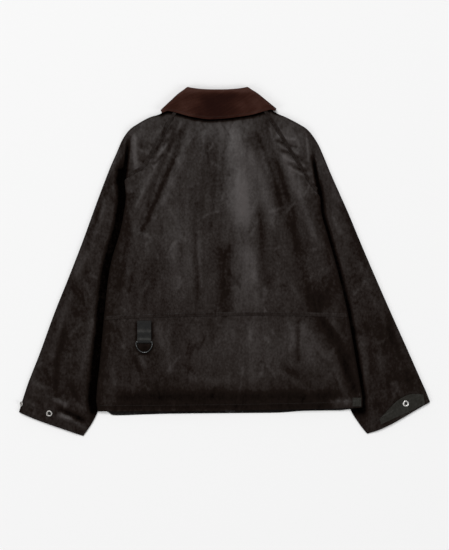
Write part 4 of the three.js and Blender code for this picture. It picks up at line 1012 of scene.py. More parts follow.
def collar_rub_and_light(grid):
    """The collar's tone: darker in the middle of its back leaf, paler to the right and along its lower edge,
    and paler along the roll, with rubbing there and a painted highlight."""
    rub, x, y = COLLAR_RUB_AND_LIGHT, grid[..., 0], grid[..., 1]
    dark = rub["dark"] * np.exp(-(((x - rub["dark_x"]) / rub["dark_width"]) ** 2))
    dark = dark * ease((rub["dark_top_y"] - y) / rub["dark_ramp"])
    # Paler along the roll: rubbing and a painted highlight.
    roll_rub_and_highlight = rub["roll"] * np.exp(-(((rub["roll_y"] - y) / rub["roll_width"]) ** 2))
    from_edge_y = (y - collar_edge_y(x) - rub["edge_above"]) / rub["edge_width"]
    lower_edge = rub["edge"] * np.exp(-(from_edge_y ** 2))
    right = rub["right"] * ease((x - rub["right_x"]) / rub["right_ramp"])
    return np.clip(rub["plain"] + right - dark + roll_rub_and_highlight + lower_edge, 0, 1)


around, turn, trim = collar_places()
collar_outer = collar_face(around, turn, trim, 1)
collar_inner = collar_face(around, turn, trim, -1)
collar = shell("collar_needlecord", collar_outer, collar_inner, collar_rub_and_light(collar_outer))
finish_piece(collar, CORD, "needlecord", "collar")

# %% [markdown]
# ## The back
# The back is cut in two pieces that meet at a double-stitched cross seam. Its sides roll over, so the
# columns stand close together there. Above the underarm its edges are the raglan seams, and its top
# follows the neck.

# %% Back panels
BACK_COLUMNS = 190
BACK_ROWS = {"lower": 80, "upper": 100, "yoke": 80}
ROLL_STEPS = np.array([0, 0.12, 0.35, 0.8, 1.5, 2.6, 4.0, 5.8, EDGE_ROLL])
FELLED = {
    "width": 9.0, "start": 0.35, "steps": 9, "height": 0.5, "square": 6, "edge": 0.08, "depth": 0.75,
    "wear_and_light": 0.36, "pucker": 0.35, "pitch": 8.5, "sway": 1.7, "sway_run": 31.0}
BACK_TRIM = {"below_underarm": 3.0, "fell_columns": 6, "seam_columns": 8}


def column_shares(width, count):
    """Shares across a row of that width: close together at both rolled edges, even between them."""
    edge = ROLL_STEPS / width
    middle = mix(edge[-1], 1 - edge[-1], np.linspace(0, 1, count + 1)[1:-1])
    return np.concatenate([edge, middle, 1 - edge[::-1]])


def back_row(left, right, bow, rolled, neck):
    """One row of the back: from edge to edge, bowed in plan, rolled down to the fronts where it is a side
    fold."""
    width = right[0] - left[0]
    t = column_shares(width, BACK_COLUMNS)
    top = neck_point(mix(BACK_NECK["left"], BACK_NECK["right"], t))[:, 1]
    ends = neck_point(BACK_NECK["left"])[1], neck_point(BACK_NECK["right"])[1]
    x = mix(left[0], right[0], t)
    y = mix(left[1], right[1], t) + bow * arch(t) + neck * (top - mix(ends[0], ends[1], t))
    rim = front_height(x, y) + CLOTH + RIM_GAP
    over = mix(1, roll(np.minimum(t, 1 - t) * width), rolled)
    return np.stack([x, y, mix(rim, back_height(x, y), over)], axis=1)


def body_rows(low, high, bows, count, inset=0.0):
    """Rows between two heights, given as the left and the right one, with the bow going from one to the
    other."""
    rows = []
    for t in np.linspace(0, 1, count):
        left_y, right_y = mix(low[0], high[0], t), mix(low[1], high[1], t)
        trim_in = inset if t == 1 else 0
        left = (side_x("left", left_y) + trim_in, left_y)
        right = (side_x("right", right_y) - trim_in, right_y)
        rows.append(back_row(left, right, mix(*bows, t), 1, 0))
    return rows


def seam_heights(side, count):
    """Heights along a raglan seam, closer together at the underarm."""
    return mix(underarm_y(side), neck_point(BACK_NECK[side])[1], np.linspace(0, 1, count) ** 1.4)


def yoke_rows(count):
    """Rows between the two raglan seams, whose last one follows the neck."""
    rows = []
    pairs = zip(seam_heights("left", count), seam_heights("right", count), np.linspace(0, 1, count))
    for left_y, right_y, t in pairs:
        left, right = (raglan_x("left", left_y), left_y), (raglan_x("right", right_y), right_y)
        rows.append(back_row(left, right, 0, 0, ease(t)))
    return rows


def felled_seam(name, grid):
    """The folded strip over a seam: a low, puckered band that starts just inside the first row of a grid."""
    shares = np.linspace(0, 1, FELLED["steps"])
    strip = np.stack([from_edge(grid, mix(FELLED["start"], FELLED["width"], share), 0) for share in shares])
    steps = np.linalg.norm(np.diff(strip[0], axis=0), axis=1)
    reach = np.concatenate([[0], np.cumsum(steps)])
    proud = FELLED["height"] * (1 - (2 * shares - 1) ** FELLED["square"])[:, None]
    sway = FELLED["sway"] * np.sin(reach / FELLED["sway_run"])
    wave = FELLED["pucker"] * np.sin(2 * np.pi * reach / FELLED["pitch"] + sway)
    strip[..., 2] += FELLED["edge"] + proud * (1 + wave[None, :])
    inner = strip - np.array([0, 0, FELLED["depth"]])
    piece = shell(name, strip, inner, np.full(strip.shape[:2], FELLED["wear_and_light"]))
    return finish_piece(piece, WAX, "waxed_cotton")


lower_grid = np.array(body_rows(
    (HEM["left"], HEM["right"]), (CROSS_SEAM["left"] - SEAM, CROSS_SEAM["right"] - SEAM),
    (HEM["bow"], CROSS_SEAM["bow"]), BACK_ROWS["lower"]))
back_lower = wall("back_lower_panel", lower_grid, wear_and_light=back_wear_and_light(lower_grid))
finish_piece(back_lower, WAX, "waxed_cotton", "back_lower")
upper_grid = np.array(body_rows(
    (CROSS_SEAM["left"], CROSS_SEAM["right"]),
    (underarm_y("left") - BACK_TRIM["below_underarm"], underarm_y("right") - BACK_TRIM["below_underarm"]),
    (CROSS_SEAM["bow"], 0), BACK_ROWS["upper"], CORNER["inset"]) + yoke_rows(BACK_ROWS["yoke"]))
back_upper = wall("back_upper_panel", upper_grid, wear_and_light=back_wear_and_light(upper_grid))
finish_piece(back_upper, WAX, "waxed_cotton", "back_upper")
fell_columns = slice(BACK_TRIM["fell_columns"], -BACK_TRIM["fell_columns"])
cross_fell = felled_seam("felled_cross_seam", upper_grid[:, fell_columns])
print("back areas:", round(half_area(lower_grid), 3), round(half_area(upper_grid), 3), "m2")

# %% [markdown]
# ## The fronts and the zip
# The two fronts lie on the surface and meet at the zip. The photograph hides them but for their hem, which
# shows as a dark line below the back's, so they are finished plainly.


# %% Fronts and zip
FRONT = {
    "body_rows": 60, "yoke_rows": 30, "columns": 60, "below_underarm": 3.0, "centre_below": 33.0,
    "yoke_below": 30.0, "corner": 4.0, "hem_inset": 10.0, "hem_run": 12.0, "hem_fade": 8, "crowd": 1.6,
    "neck_power": 3}
ZIP = {"below_hem": 2.0, "top_y": 300.0, "rows": 60, "columns": 9, "tape": 0.7}


def centre_x(y):
    """The centre front line, a little askew."""
    share = (y - HEM["left"]) / (CENTRE_FRONT["neck_y"] - HEM["left"])
    return mix(CENTRE_FRONT["hem_x"], CENTRE_FRONT["neck_x"], share)


def front_grid(side):
    """The underside of one front: rows from the centre line out to the side fold or the raglan seam."""
    under, top, out, form = underarm_y(side), neck_point(BACK_NECK[side]), OUTWARD[side], FRONT
    low, high = np.linspace(0, 1, form["body_rows"]), np.linspace(0, 1, form["yoke_rows"])
    outer = np.concatenate([
        mix(HEM[side], under - form["below_underarm"], low), seam_heights(side, len(high))])
    neck = np.concatenate([0 * low, high])
    inner = np.concatenate([
        mix(HEM[side], under - form["centre_below"], low), mix(under - form["yoke_below"], top[1], high)])
    edge = np.where(outer < under, side_x(side, outer), raglan_x(side, outer))
    inset = SEAM + np.where(np.abs(outer - under) < form["corner"], CORNER["inset"], 0)
    at_hem = form["hem_inset"] * np.clip(1 - form["hem_run"] * low, 0, 1)
    inset = inset + np.concatenate([at_hem, 0 * high])
    fade = np.concatenate([(1 - low) ** form["hem_fade"], 0 * high])[:, None]
    start = centre_x(inner + fade[:, 0] * (curve(FRONT_HEM, "x", "y", CENTRE_FRONT["hem_x"]) - HEM[side]))
    spread = 1 - (1 - np.linspace(0, 1, form["columns"])) ** form["crowd"]
    x = mix((start + out * SEAM / 2)[:, None], (edge - out * inset)[:, None], spread)
    curved = neck_point(mix(0, BACK_NECK[side], spread))[:, 1] - top[1]
    y = mix(inner[:, None], outer[:, None], spread) + neck[:, None] ** form["neck_power"] * curved
    y = y + fade * (curve(FRONT_HEM, "x", "y", x) - HEM[side])
    return np.stack([x, y, front_height(x, y)], axis=2)


# The fronts take the darker copy of the cloth: painted shade.
FRONT_NODES = {side: [f"front_{side}", f"front_side_{side}", f"front_yoke_{side}"] for side in OUTWARD}
for side in OUTWARD:
    grid = front_grid(side)
    front = floor_wall(f"front_{side}_panel", grid)
    finish_piece(front, WAX_SHADED, "waxed_cotton", *FRONT_NODES[side])

zip_y = np.linspace(HEM["left"] - ZIP["below_hem"], ZIP["top_y"], ZIP["rows"])[:, None]
zip_x = centre_x(zip_y) + np.linspace(-1, 1, ZIP["columns"]) * CENTRE_FRONT["zip_half"]
zip_under = np.stack(np.broadcast_arrays(zip_x, zip_y, low_height(zip_y) + CLOTH + SEAM), axis=2)
zip_tape = finish_piece(floor_wall("zip_tape", zip_under, ZIP["tape"]), TAPE, "webbing", "front_zip")


# %% [markdown]
# ## Small repeated things
# Stitches, zip teeth and the like are one small form copied many times. The form is worked out once, and
# every copy is that array turned and moved, so hundreds of stitches are one mesh with a few faces each.

# %% Copies of a small form
BEAD_RINGS = np.array([[-1.0, 0.25], [-0.72, 0.8], [0.72, 0.8], [1.0, 0.25]])
SEAM_STITCH = {"pitch": 3.4, "size": (2.7, 0.62, 0.5)}
COLLAR_STITCH = {"pitch": 3.0, "size": (2.3, 0.6, 0.45)}
TAB_STITCH = {"pitch": 2.6, "size": (2.0, 0.6, 0.45)}
TACK_STITCH = {"pitch": 2.4, "size": (2.0, 0.62, 0.5)}
ZIP_TOOTH = {"pitch": 3.0, "top_y": 298.0, "rise": 1.1, "lean": 0.04, "size": (5.2, 1.6, 1.0)}


def bead(sides=6):
    """A stitch from -1 to 1 along X: two small end rings and two full ones, with that many sides."""
    angle = np.arange(sides) * 2 * np.pi / sides
    rings = [
        np.stack([np.full(sides, place), radius * np.cos(angle), radius * np.sin(angle)], axis=1)
        for place, radius in BEAD_RINGS]
    index = np.arange(4 * sides).reshape(4, sides)
    faces = np.stack([index[:-1], np.roll(index[:-1], -1, 1), np.roll(index[1:], -1, 1), index[1:]], axis=-1)
    caps = [[index[k, 0], index[k, 1], index[k, 2], index[k, 3]] for k in (0, -1)]
    ends = [[index[k, 3], index[k, 4], index[k, 5], index[k, 0]] for k in (0, -1)]
    caps[0], ends[0] = caps[0][::-1], ends[0][::-1]
    return np.concatenate(rings), np.concatenate([faces.reshape(-1, 4), caps, ends])


def copies(name, middles, directions, size):
    """One bead at each middle, turned to its direction, stretched to half its size along each of its
    axes."""
    form, faces = bead()
    along = directions / np.linalg.norm(directions, axis=1, keepdims=True)
    across = np.cross(np.array([0, 0, 1.0]), along)
    across = across / np.linalg.norm(across, axis=1, keepdims=True)
    up = np.cross(along, across)
    axes = np.stack([along, across, up], axis=1)
    points = middles[:, None] + (form * np.array(size) / 2)[None] @ axes
    shift = (np.arange(len(middles)) * len(form))[:, None, None]
    return make_mesh(name, points.reshape(-1, 3), (faces[None] + shift).reshape(-1, 4))


def along_path(path, pitch):
    """Even middles and directions along a path, one for each pitch."""
    steps = np.linalg.norm(np.diff(path, axis=0), axis=1)
    reach = np.concatenate([[0], np.cumsum(steps)])
    stops = np.arange(pitch / 2, reach[-1] - pitch / 2, pitch)
    middles = np.stack([np.interp(stops, reach, path[:, k]) for k in range(3)], axis=1)
    ahead = np.stack([np.interp(stops + 0.5, reach, path[:, k]) for k in range(3)], axis=1)
    return middles, ahead - middles


def stitches(name, paths, kind=SEAM_STITCH):
    """Topstitching along each path: one thread bead for each stitch."""
    rows = [along_path(path, kind["pitch"]) for path in paths]
    middles, directions = (np.concatenate(part) for part in zip(*rows))
    piece = copies(name, middles, directions, kind["size"])
    print(name, "has", len(middles), "stitches")
    return finish_piece(piece, THREAD, "waxed_cotton")


teeth_y = np.arange(HEM["left"], ZIP_TOOTH["top_y"], ZIP_TOOTH["pitch"])
teeth_z = low_height(teeth_y) + CLOTH + SEAM + ZIP_TOOTH["rise"]
teeth = np.stack([centre_x(teeth_y), teeth_y, teeth_z], axis=1)
teeth_run = np.tile([1.0, ZIP_TOOTH["lean"], 0.0], (len(teeth), 1))
zip_teeth = copies("zip_teeth", teeth, teeth_run, ZIP_TOOTH["size"])
finish_piece(zip_teeth, GUNMETAL, "gunmetal")

# %% [markdown]
# ## The sleeves
# Each sleeve is one cut piece up to the neck, as a raglan sleeve is. At the shoulder it lies level with
# the back, and then folds over a pleat and drops to the level of the sleeve, which runs on under the side
# of the body. The section along each row is therefore a step in the shape of an S that fades out at both
# ends.

# %% Sleeve shape
PLEAT = {"width": 3.2, "tuck": 2.4, "most": 0.04, "folded": 0.2}
SLEEVE_STEPS = {
    "shoulder": 70, "arm": 150, "level": 25, "pleat": 15, "puffed": 54,
    "under_shoulder": 30, "under_arm": 60, "under": 24, "search": 401}
SLEEVE_START = 4.0
SLEEVE_CROWD = 1.1
MOST_ROLL = 0.4


def sleeve_heights(side, seam_count, count):
    """The heights of a sleeve's rows on its inner side: up the raglan seam first, and then down to the
    cuff."""
    shares = np.linspace(0, 1, count) ** SLEEVE_CROWD
    below = mix(underarm_y(side) - SLEEVE_START, SLEEVE_ROWS[side]["y"][-1], shares)
    return np.concatenate([seam_heights(side, seam_count)[::-1], below])


def sleeve_ends(side, inner_y):
    """The inner and the outer end of each row, how far it has dropped, and whether it is above the
    underarm."""
    rows, under = SLEEVE_ROWS[side], underarm_y(side)
    above = inner_y >= under
    room = CORNER["gap"] + CORNER["room"] * ease((under + CORNER["reach"] - inner_y) / CORNER["reach"])
    inner_x = np.where(above, raglan_x(side, inner_y) + OUTWARD[side] * room, fold_x(side, inner_y))
    outer = np.stack([curve(rows, "y", want, inner_y) for want in ("outer_x", "outer_y")], axis=1)
    drop = np.clip(curve(rows, "y", "drop", inner_y), 0, 1)
    return np.stack([inner_x, inner_y], axis=1), outer, drop, above


def sleeve_point(side, inner, outer, t):
    """The point at the share t of each row. Near the cuff a row bows out by 27/4 * s * (1 - s)^2 of the
    bow."""
    near = 1 - ease((inner[:, 1:] - SLEEVE_ROWS[side]["y"][-1]) / CUFF_BOW["reach"])
    share = 1 - t if side == "left" else t
    run = outer - inner
    bow = CUFF_BOW[side] * near * BOW_PEAK * share * (1 - share) ** 2
    away = OUTWARD[side] * bow / np.hypot(*run.T)[:, None]
    x = mix(inner[:, :1], outer[:, :1], t) + away * run[:, 1:]
    y = mix(inner[:, 1:], outer[:, 1:], t) - away * run[:, :1]
    return x, y


def crossing(side, inner, outer):
    """The share of each row where it crosses the shoulder fold or the side of the body."""
    t = np.linspace(0, 1, SLEEVE_STEPS["search"])
    x = mix(inner[:, :1], outer[:, :1], t)
    y = mix(inner[:, 1:], outer[:, 1:], t)
    past = (x - side_x(side, y)) * OUTWARD[side] >= 0
    return np.where(past.any(axis=1), t[past.argmax(axis=1)], 1.0)


def sleeve_grid(side):
    """The outer face of a sleeve: level part, pleat, puffed part and rolled edge, side by side in each
    row."""
    many = SLEEVE_STEPS
    inner, outer, drop, above = sleeve_ends(side, sleeve_heights(side, many["shoulder"], many["arm"]))
    length = np.hypot(*(outer - inner).T)
    roll_share = np.minimum(EDGE_ROLL / length, MOST_ROLL)[:, None]
    half = np.minimum(PLEAT["width"] / length, PLEAT["most"])[:, None]
    cross = np.clip(crossing(side, inner, outer)[:, None], half, 1 - roll_share - 2 * half)
    level = mix(0, cross - half, np.linspace(0, 1, many["level"] + 1)[:-1])
    pleat_step = np.linspace(0, 1, many["pleat"])
    puffed = mix(cross + half, 1 - roll_share, np.linspace(0, 1, many["puffed"] + 2)[1:-1])
    edge = 1 - ROLL_STEPS[::-1] / EDGE_ROLL * roll_share
    t = np.concatenate([level, cross + 0 * pleat_step, puffed, edge], axis=1)
    beyond = many["puffed"] + len(ROLL_STEPS)
    step = np.concatenate([np.zeros(many["level"]), pleat_step, np.ones(beyond)])
    in_pleat = np.concatenate([np.zeros(many["level"]), np.ones(many["pleat"]), np.zeros(beyond)])
    folded = np.where(above, drop, 0)[:, None]
    across = in_pleat * (2 * step - 1) * half * mix(1, PLEAT["folded"], folded)
    tuck = in_pleat * folded * (PLEAT["tuck"] / length)[:, None] * np.sin(2 * np.pi * step)
    x, y = sleeve_point(side, inner, outer, t + across + tuck)
    shape = np.where(in_pleat > 0, (1 - np.cos(np.pi * step)) / 2, step)
    low = np.where(above[:, None], drop[:, None] * shape, 1.0)
    height = mix(back_height(x, y), sleeve_height(side, x, y), low)
    rim = low_height(y) + CLOTH + RIM_GAP
    over = roll((1 - t) * EDGE_ROLL / roll_share)
    return np.stack([x, y, mix(rim, height, over)], axis=2)


def sleeve_under_grid(side):
    """The underside of a sleeve's lower layer, flat on the surface but for the lift at the collar."""
    heights = sleeve_heights(side, SLEEVE_STEPS["under_shoulder"], SLEEVE_STEPS["under_arm"])
    inner, outer, _, _ = sleeve_ends(side, heights)
    edge = outer - np.array([OUTWARD[side] * SEAM, 0])
    x, y = sleeve_point(side, inner, edge, np.linspace(0, 1, SLEEVE_STEPS["under"]))
    return np.stack([x, y, low_height(y)], axis=2)


# %% Sleeve pieces
# The sleeves' lower layers take the darker copy of the cloth: painted shade.
SHOULDER_ROWS = slice(4, SLEEVE_STEPS["shoulder"] - 6)
sleeve_tops = {}
for side in OUTWARD:
    sleeve_tops[side] = sleeve_grid(side)
    top = wall(f"sleeve_{side}_upper", sleeve_tops[side], wear_and_light=sleeve_wear_and_light(side, sleeve_tops[side]))
    finish_piece(top, WAX, "waxed_cotton", f"sleeve_back_{side}")
    fell = felled_seam(f"felled_raglan_{side}", np.swapaxes(sleeve_tops[side][SHOULDER_ROWS], 0, 1))
    grid = sleeve_under_grid(side)
    under = finish_piece(
        floor_wall(f"sleeve_{side}_under", grid), WAX_SHADED, "waxed_cotton", f"sleeve_front_{side}")
    print("sleeve", side, round(half_area(sleeve_tops[side]), 3), "m2")

# %% [markdown]
# ## Topstitching
# The thread sits in the cloth, so each row of stitches is taken from the panel's own points, at a set
# distance from the panel's edge. The raglan and cross seams and the cuffs have two rows, and the hem and the
# collar's edge have one.


# %% Stitch rows
SEAM_ROWS = {"near": 1.9, "far": 7.6}
SEAM_ROW_RISE = {"near": 0.62, "far": 0.66}
HEM_ROW = 13.2
CUFF_ROWS = (3.5, 21.0)
COLLAR_ROW = {"inset": 5.0, "ends": 0.985, "points": 160, "rise": 0.05}


def collar_path():
    """A row round the back leaf's edge, a little way in from it."""
    at = np.linspace(-COLLAR_ROW["ends"], COLLAR_ROW["ends"], COLLAR_ROW["points"])
    out, turn = 0 * at + COLLAR_MIDDLE + COLLAR_BEND, 0 * at + np.pi / 2
    return collar_point(at, collar_length(at) - COLLAR_ROW["inset"], out, turn) + [0, 0, COLLAR_ROW["rise"]]


stitches("stitches_raglan", [
    from_edge(np.swapaxes(sleeve_tops[side][SHOULDER_ROWS], 0, 1), SEAM_ROWS[row], SEAM_ROW_RISE[row])
    for side in OUTWARD for row in SEAM_ROWS])
seam_columns = slice(BACK_TRIM["seam_columns"], -BACK_TRIM["seam_columns"])
stitches("stitches_cross_seam", [
    from_edge(upper_grid[:, seam_columns], distance, SEAM_ROW_RISE["far"])
    for distance in SEAM_ROWS.values()])
stitches("stitches_hem", [from_edge(lower_grid[:, seam_columns], HEM_ROW)])
stitches("stitches_cuffs", [
    from_edge(sleeve_tops[side][::-1, 2:-9], distance) for side in OUTWARD for distance in CUFF_ROWS])
stitches("stitches_collar", [collar_path()], COLLAR_STITCH)

# %% [markdown]
# ## Tabs and webbing
# What lies on a panel is made from the panel's own points, moved out by the gap and by its thickness, so
# that it follows every fold. The webbing loop is a strip that runs down to the ring's bar, round it and
# back up.

# %% Tabs
CUFF_TAB = table(
    "k low_x low_y high_x high_y",
    (0, 440, -313, 437, -292), (1, 412, -327, 408, -292), (2, 385, -339, 381, -305),
    (3, 363, -349, 356, -330), (4, 344, -358, 341, -346))
HEM_TAB = {"left": 281.0, "right": 300.0, "low": -318.0, "high": -299.0}
TAB_RISE = 2 * SEAM + WEBBING
TAB_ROW_RISE = np.array([0, 0, 0.1])


def cuff_tab_grid():
    """The outer face of the cuff tab, between its lower and its upper edge, laid on the sleeve."""
    at = np.linspace(0, 4, 60)
    low, high = (
        np.stack([curve(CUFF_TAB, "k", edge + "_x", at), curve(CUFF_TAB, "k", edge + "_y", at)], axis=1)
        for edge in ("low", "high"))
    plan = mix(low[:, None], high[:, None], np.linspace(0, 1, 22)[None, :, None])
    x, y = plan[..., 0], plan[..., 1]
    return np.stack([x, y, sleeve_height("right", x, y) + TAB_RISE], axis=2)


def hem_tab_grid():
    """The outer face of the hem tab, laid on the back and over its rolled side."""
    x, y = np.meshgrid(
        np.linspace(HEM_TAB["left"], HEM_TAB["right"], 24), np.linspace(HEM_TAB["low"], HEM_TAB["high"], 24))
    over = roll(side_x("right", y) - x)
    panel = mix(front_height(x, y) + CLOTH + RIM_GAP, back_height(x, y), over)
    return np.stack([x, y, panel + TAB_RISE], axis=2)


cuff_grid, hem_grid = cuff_tab_grid(), hem_tab_grid()
cuff_tab = finish_piece(wall("cuff_tab", cuff_grid, WEBBING), TAB, "cuff_tab", "cuff_tab_right")
hem_tab = finish_piece(wall("hem_tab", hem_grid, WEBBING), TAB, "webbing", "hem_tab_right")
cuff_tab_rows = [cuff_grid[2:-2, 2] + TAB_ROW_RISE, cuff_grid[2:-2, -3] + TAB_ROW_RISE]
stitches("stitches_cuff_tab", cuff_tab_rows, COLLAR_STITCH)
stitches("stitches_hem_tab", [hem_grid[4] + TAB_ROW_RISE, hem_grid[-5] + TAB_ROW_RISE], TAB_STITCH)

# %% Webbing loop
STRAP = {"x": -176.0, "width": 30.2, "top": -130.0, "bar": -176.0, "pinch": 10.0}
RING = {"width": 38.0, "depth": 25.0, "wire": 2.8, "corner": 2.2}
BAR_HEIGHT = FLAT_PATCH["top"] + SEAM + RING["wire"] / 2 + SEAM + WEBBING
STRAP_RADIUS = RING["wire"] / 2 + SEAM + WEBBING
STRAP_LOW = BAR_HEIGHT - STRAP_RADIUS
STRAP_HIGH = STRAP_LOW + 2 * WEBBING + SEAM


def strap_path():
    """The outer line of the webbing, as Y and Z: along the cloth, half round the bar, pinched, and back
    up."""
    s, turn = np.linspace(0, 1, 24), np.pi * np.linspace(0, 1, 22)
    bar, radius = STRAP["bar"], STRAP_RADIUS
    down = np.stack([mix(STRAP["top"], bar, s[:-1]), 0 * s[:-1] + STRAP_LOW], axis=1)
    bend = np.stack([bar - radius * np.sin(turn), BAR_HEIGHT - radius * np.cos(turn)], axis=1)
    pinch = np.stack([bar + STRAP["pinch"] * s, mix(BAR_HEIGHT + radius, STRAP_HIGH, ease(s))], axis=1)[1:]
    back = np.stack([mix(bar + STRAP["pinch"], STRAP["top"], s), 0 * s + STRAP_HIGH], axis=1)[1:]
    return np.concatenate([down, bend, pinch, back])


def strap_face(depth):
    """The strap's line moved in by depth along its own normal, and carried across its width."""
    path = strap_path()
    run = np.gradient(path, axis=0)
    run = run / np.linalg.norm(run, axis=1, keepdims=True)
    line = path + np.stack([run[:, 1], -run[:, 0]], axis=1) * depth
    x = STRAP["x"] + np.linspace(-0.5, 0.5, 20) * STRAP["width"]
    return np.stack(np.broadcast_arrays(x[None], line[:, :1], line[:, 1:]), axis=2)


STRAP_WEAR = 0.12
# Light bands are painted highlights, dark ones painted shade.
STRAP_LIGHT_BANDS = table("y height width", (-152, 0.36, 4), (-170, 0.34, 3.5), (-161, -0.1, 3), (-176, -0.2, 3))
TACKS = {"y": (-134.0, -151.0, -164.5), "half": 0.42, "points": 20, "rise": 0.15}


def strap_tone_and_light(y):
    """The webbing's tone: dark, with lighter bands near its stitches, painted highlights, and darker ones,
    painted shade, one at the ring's bar.
    """
    share = (y[..., None] - STRAP_LIGHT_BANDS["y"]) / STRAP_LIGHT_BANDS["width"]
    return STRAP_WEAR + (STRAP_LIGHT_BANDS["height"] * np.exp(-(share ** 2))).sum(axis=-1)


def bar_tack(y):
    """A straight row of stitches across the webbing."""
    x = STRAP["x"] + np.linspace(-TACKS["half"], TACKS["half"], TACKS["points"]) * STRAP["width"]
    return np.stack([x, 0 * x + y, 0 * x + STRAP_HIGH + TACKS["rise"]], axis=1)


strap_outer = strap_face(0)
strap = shell("webbing_loop", strap_outer, strap_face(WEBBING), strap_tone_and_light(strap_outer[..., 1]))
finish_piece(strap, TAPE, "webbing", "ring_strap")
stitches("stitches_webbing", [bar_tack(y) for y in TACKS["y"]], TACK_STITCH)

# %% [markdown]
# ## The ring
# The ring is a round wire bent to a D. A curve object could be bevelled, but the wire is only a circle
# carried along a closed outline, so it is worked out directly. It rides on its own body and swings on its
# straight bar.


# %% D-ring
def ring_outline():
    """The middle line of the wire in its own plane: the bar, two tight corners and half an ellipse."""
    half, corner = (RING["width"] - RING["wire"]) / 2, RING["corner"]
    depth = RING["depth"] - RING["wire"] / 2
    bar = np.stack([np.linspace(-half + corner, half - corner, 26), np.zeros(26)], axis=1)
    angle = np.linspace(np.pi / 2, 0, 10)[1:-1]
    right = np.stack([half - corner + corner * np.cos(angle), -corner + corner * np.sin(angle)], axis=1)
    bow_angle = -np.linspace(0, np.pi, 60)
    bow = np.stack([half * np.cos(bow_angle), -corner + (depth - corner) * np.sin(bow_angle)], axis=1)
    left = right[::-1] * np.array([-1, 1])
    return np.concatenate([bar, right, bow, left])


def ring_mesh(name, sides=16):
    """A circle carried round the closed outline, tilted so that the bow rests on the cloth."""
    line = ring_outline()
    run = np.roll(line, -1, axis=0) - np.roll(line, 1, axis=0)
    run = run / np.linalg.norm(run, axis=1, keepdims=True)
    normal = np.stack([-run[:, 1], run[:, 0]], axis=1)
    angle = np.arange(sides) * 2 * np.pi / sides
    radius = RING["wire"] / 2
    flat = line[:, None] + normal[:, None] * (radius * np.cos(angle))[None, :, None]
    height = np.broadcast_to(radius * np.sin(angle), flat.shape[:2])
    drop = np.arcsin((BAR_HEIGHT - FLAT_PATCH["top"] - SEAM - radius) / (RING["depth"] - radius))
    y = flat[..., 1] * np.cos(drop) - height * np.sin(drop)
    z = flat[..., 1] * np.sin(drop) + height * np.cos(drop)
    points = np.stack([STRAP["x"] + flat[..., 0], STRAP["bar"] + y, BAR_HEIGHT + z], axis=2)
    index = np.arange(len(line) * sides).reshape(len(line), sides)
    ahead = np.roll(index, -1, axis=0)
    faces = np.stack([index, ahead, np.roll(ahead, -1, axis=1), np.roll(index, -1, axis=1)], axis=-1)
    return make_mesh(name, points.reshape(-1, 3), faces.reshape(-1, 4))


finish_piece(ring_mesh("d_ring_wire"), GUNMETAL, "gunmetal", "d_ring", body="ring")

# %% [markdown]
# ## Press studs
# A press stud shows a round cap with a rolled rim and a sunk middle. It is a profile turned about its own
# axis. The one at the sleeve's outer edge leans over the fold, as in the photograph.

# %% Press studs
STUD_PROFILE = table(
    "out up",
    (0.02, 0), (0.86, 0), (0.97, 0.12), (1.0, 0.34), (0.98, 0.62), (0.9, 0.88), (0.8, 1.0), (0.66, 0.98),
    (0.57, 0.86), (0.52, 0.6), (0.5, 0.3), (0.46, 0.16), (0.3, 0.13), (0.16, 0.12), (0.02, 0.12))
STUD_HEIGHT = 2.2
STUD_SIDES = 48
SUNK_OUT = 0.5
EDGE_STUD_HEIGHT = 6.6
STUDS = {
    "stud_cuff_left": {"node": "snap_cuff_left", "radius": 7.0, "lean": 0.0, "metal": SHADED_NICKEL},
    "stud_edge_left": {"node": "snap_edge_left", "radius": 5.5, "lean": -52.0, "metal": SHADED_NICKEL},
    "stud_cuff_right": {"node": "snap_cuff_right", "radius": 7.0, "lean": 0.0, "metal": NICKEL}}


def stud_faces(rows, sides):
    """The faces of a turned profile: a band between each two rows, and both ends closed by strips of
    faces."""
    index = np.arange(rows * sides).reshape(rows, sides)
    bands = np.stack([
        index[:-1], np.roll(index[:-1], -1, axis=1), np.roll(index[1:], -1, axis=1), index[1:]], axis=-1)
    k = np.arange(sides // 2 - 1)
    ends = [
        np.stack([row[k], row[k + 1], row[-k - 2], row[-k - 1]], axis=1)[:, ::-order]
        for row, order in ((index[0], 1), (index[-1], -1))]
    return np.concatenate([bands.reshape(-1, 4), *ends])


def stud(name, place, node, radius, lean, metal):
    """The profile turned about Z, leaned about Y, and moved to its place."""
    angle = np.arange(STUD_SIDES) * 2 * np.pi / STUD_SIDES
    out, up = STUD_PROFILE["out"][:, None] * radius, STUD_PROFILE["up"][:, None] * STUD_HEIGHT
    x, y, z = np.broadcast_arrays(out * np.cos(angle), out * np.sin(angle), up)
    lean = np.radians(lean)
    points = np.stack([x * np.cos(lean) + z * np.sin(lean), y, z * np.cos(lean) - x * np.sin(lean)], axis=2)
    # 0 in the sunk middle, which the metal paints near black as painted shade.
    raised = np.where((STUD_PROFILE["out"] < SUNK_OUT) & (STUD_PROFILE["up"] > 0), 0.0, 1.0)
    piece = make_mesh(
        name, points.reshape(-1, 3) + np.array(place), stud_faces(len(out), STUD_SIDES), sharp=40,
        wear_and_light=np.repeat(raised, STUD_SIDES))
    return finish_piece(piece, metal, "nickel", node)


stud_xs, stud_ys = STUD_PLACES["x"], STUD_PLACES["y"]
stud_seats = [
    float(sleeve_height("left", stud_xs[0], stud_ys[0])) + 2 * SEAM, EDGE_STUD_HEIGHT,
    float(sleeve_height("right", stud_xs[2], stud_ys[2])) + TAB_RISE + 2 * SEAM]
for (name, made), *place in zip(STUDS.items(), stud_xs, stud_ys, stud_seats):
    stud(name, place, **made)
print("studs placed:", len(STUDS))

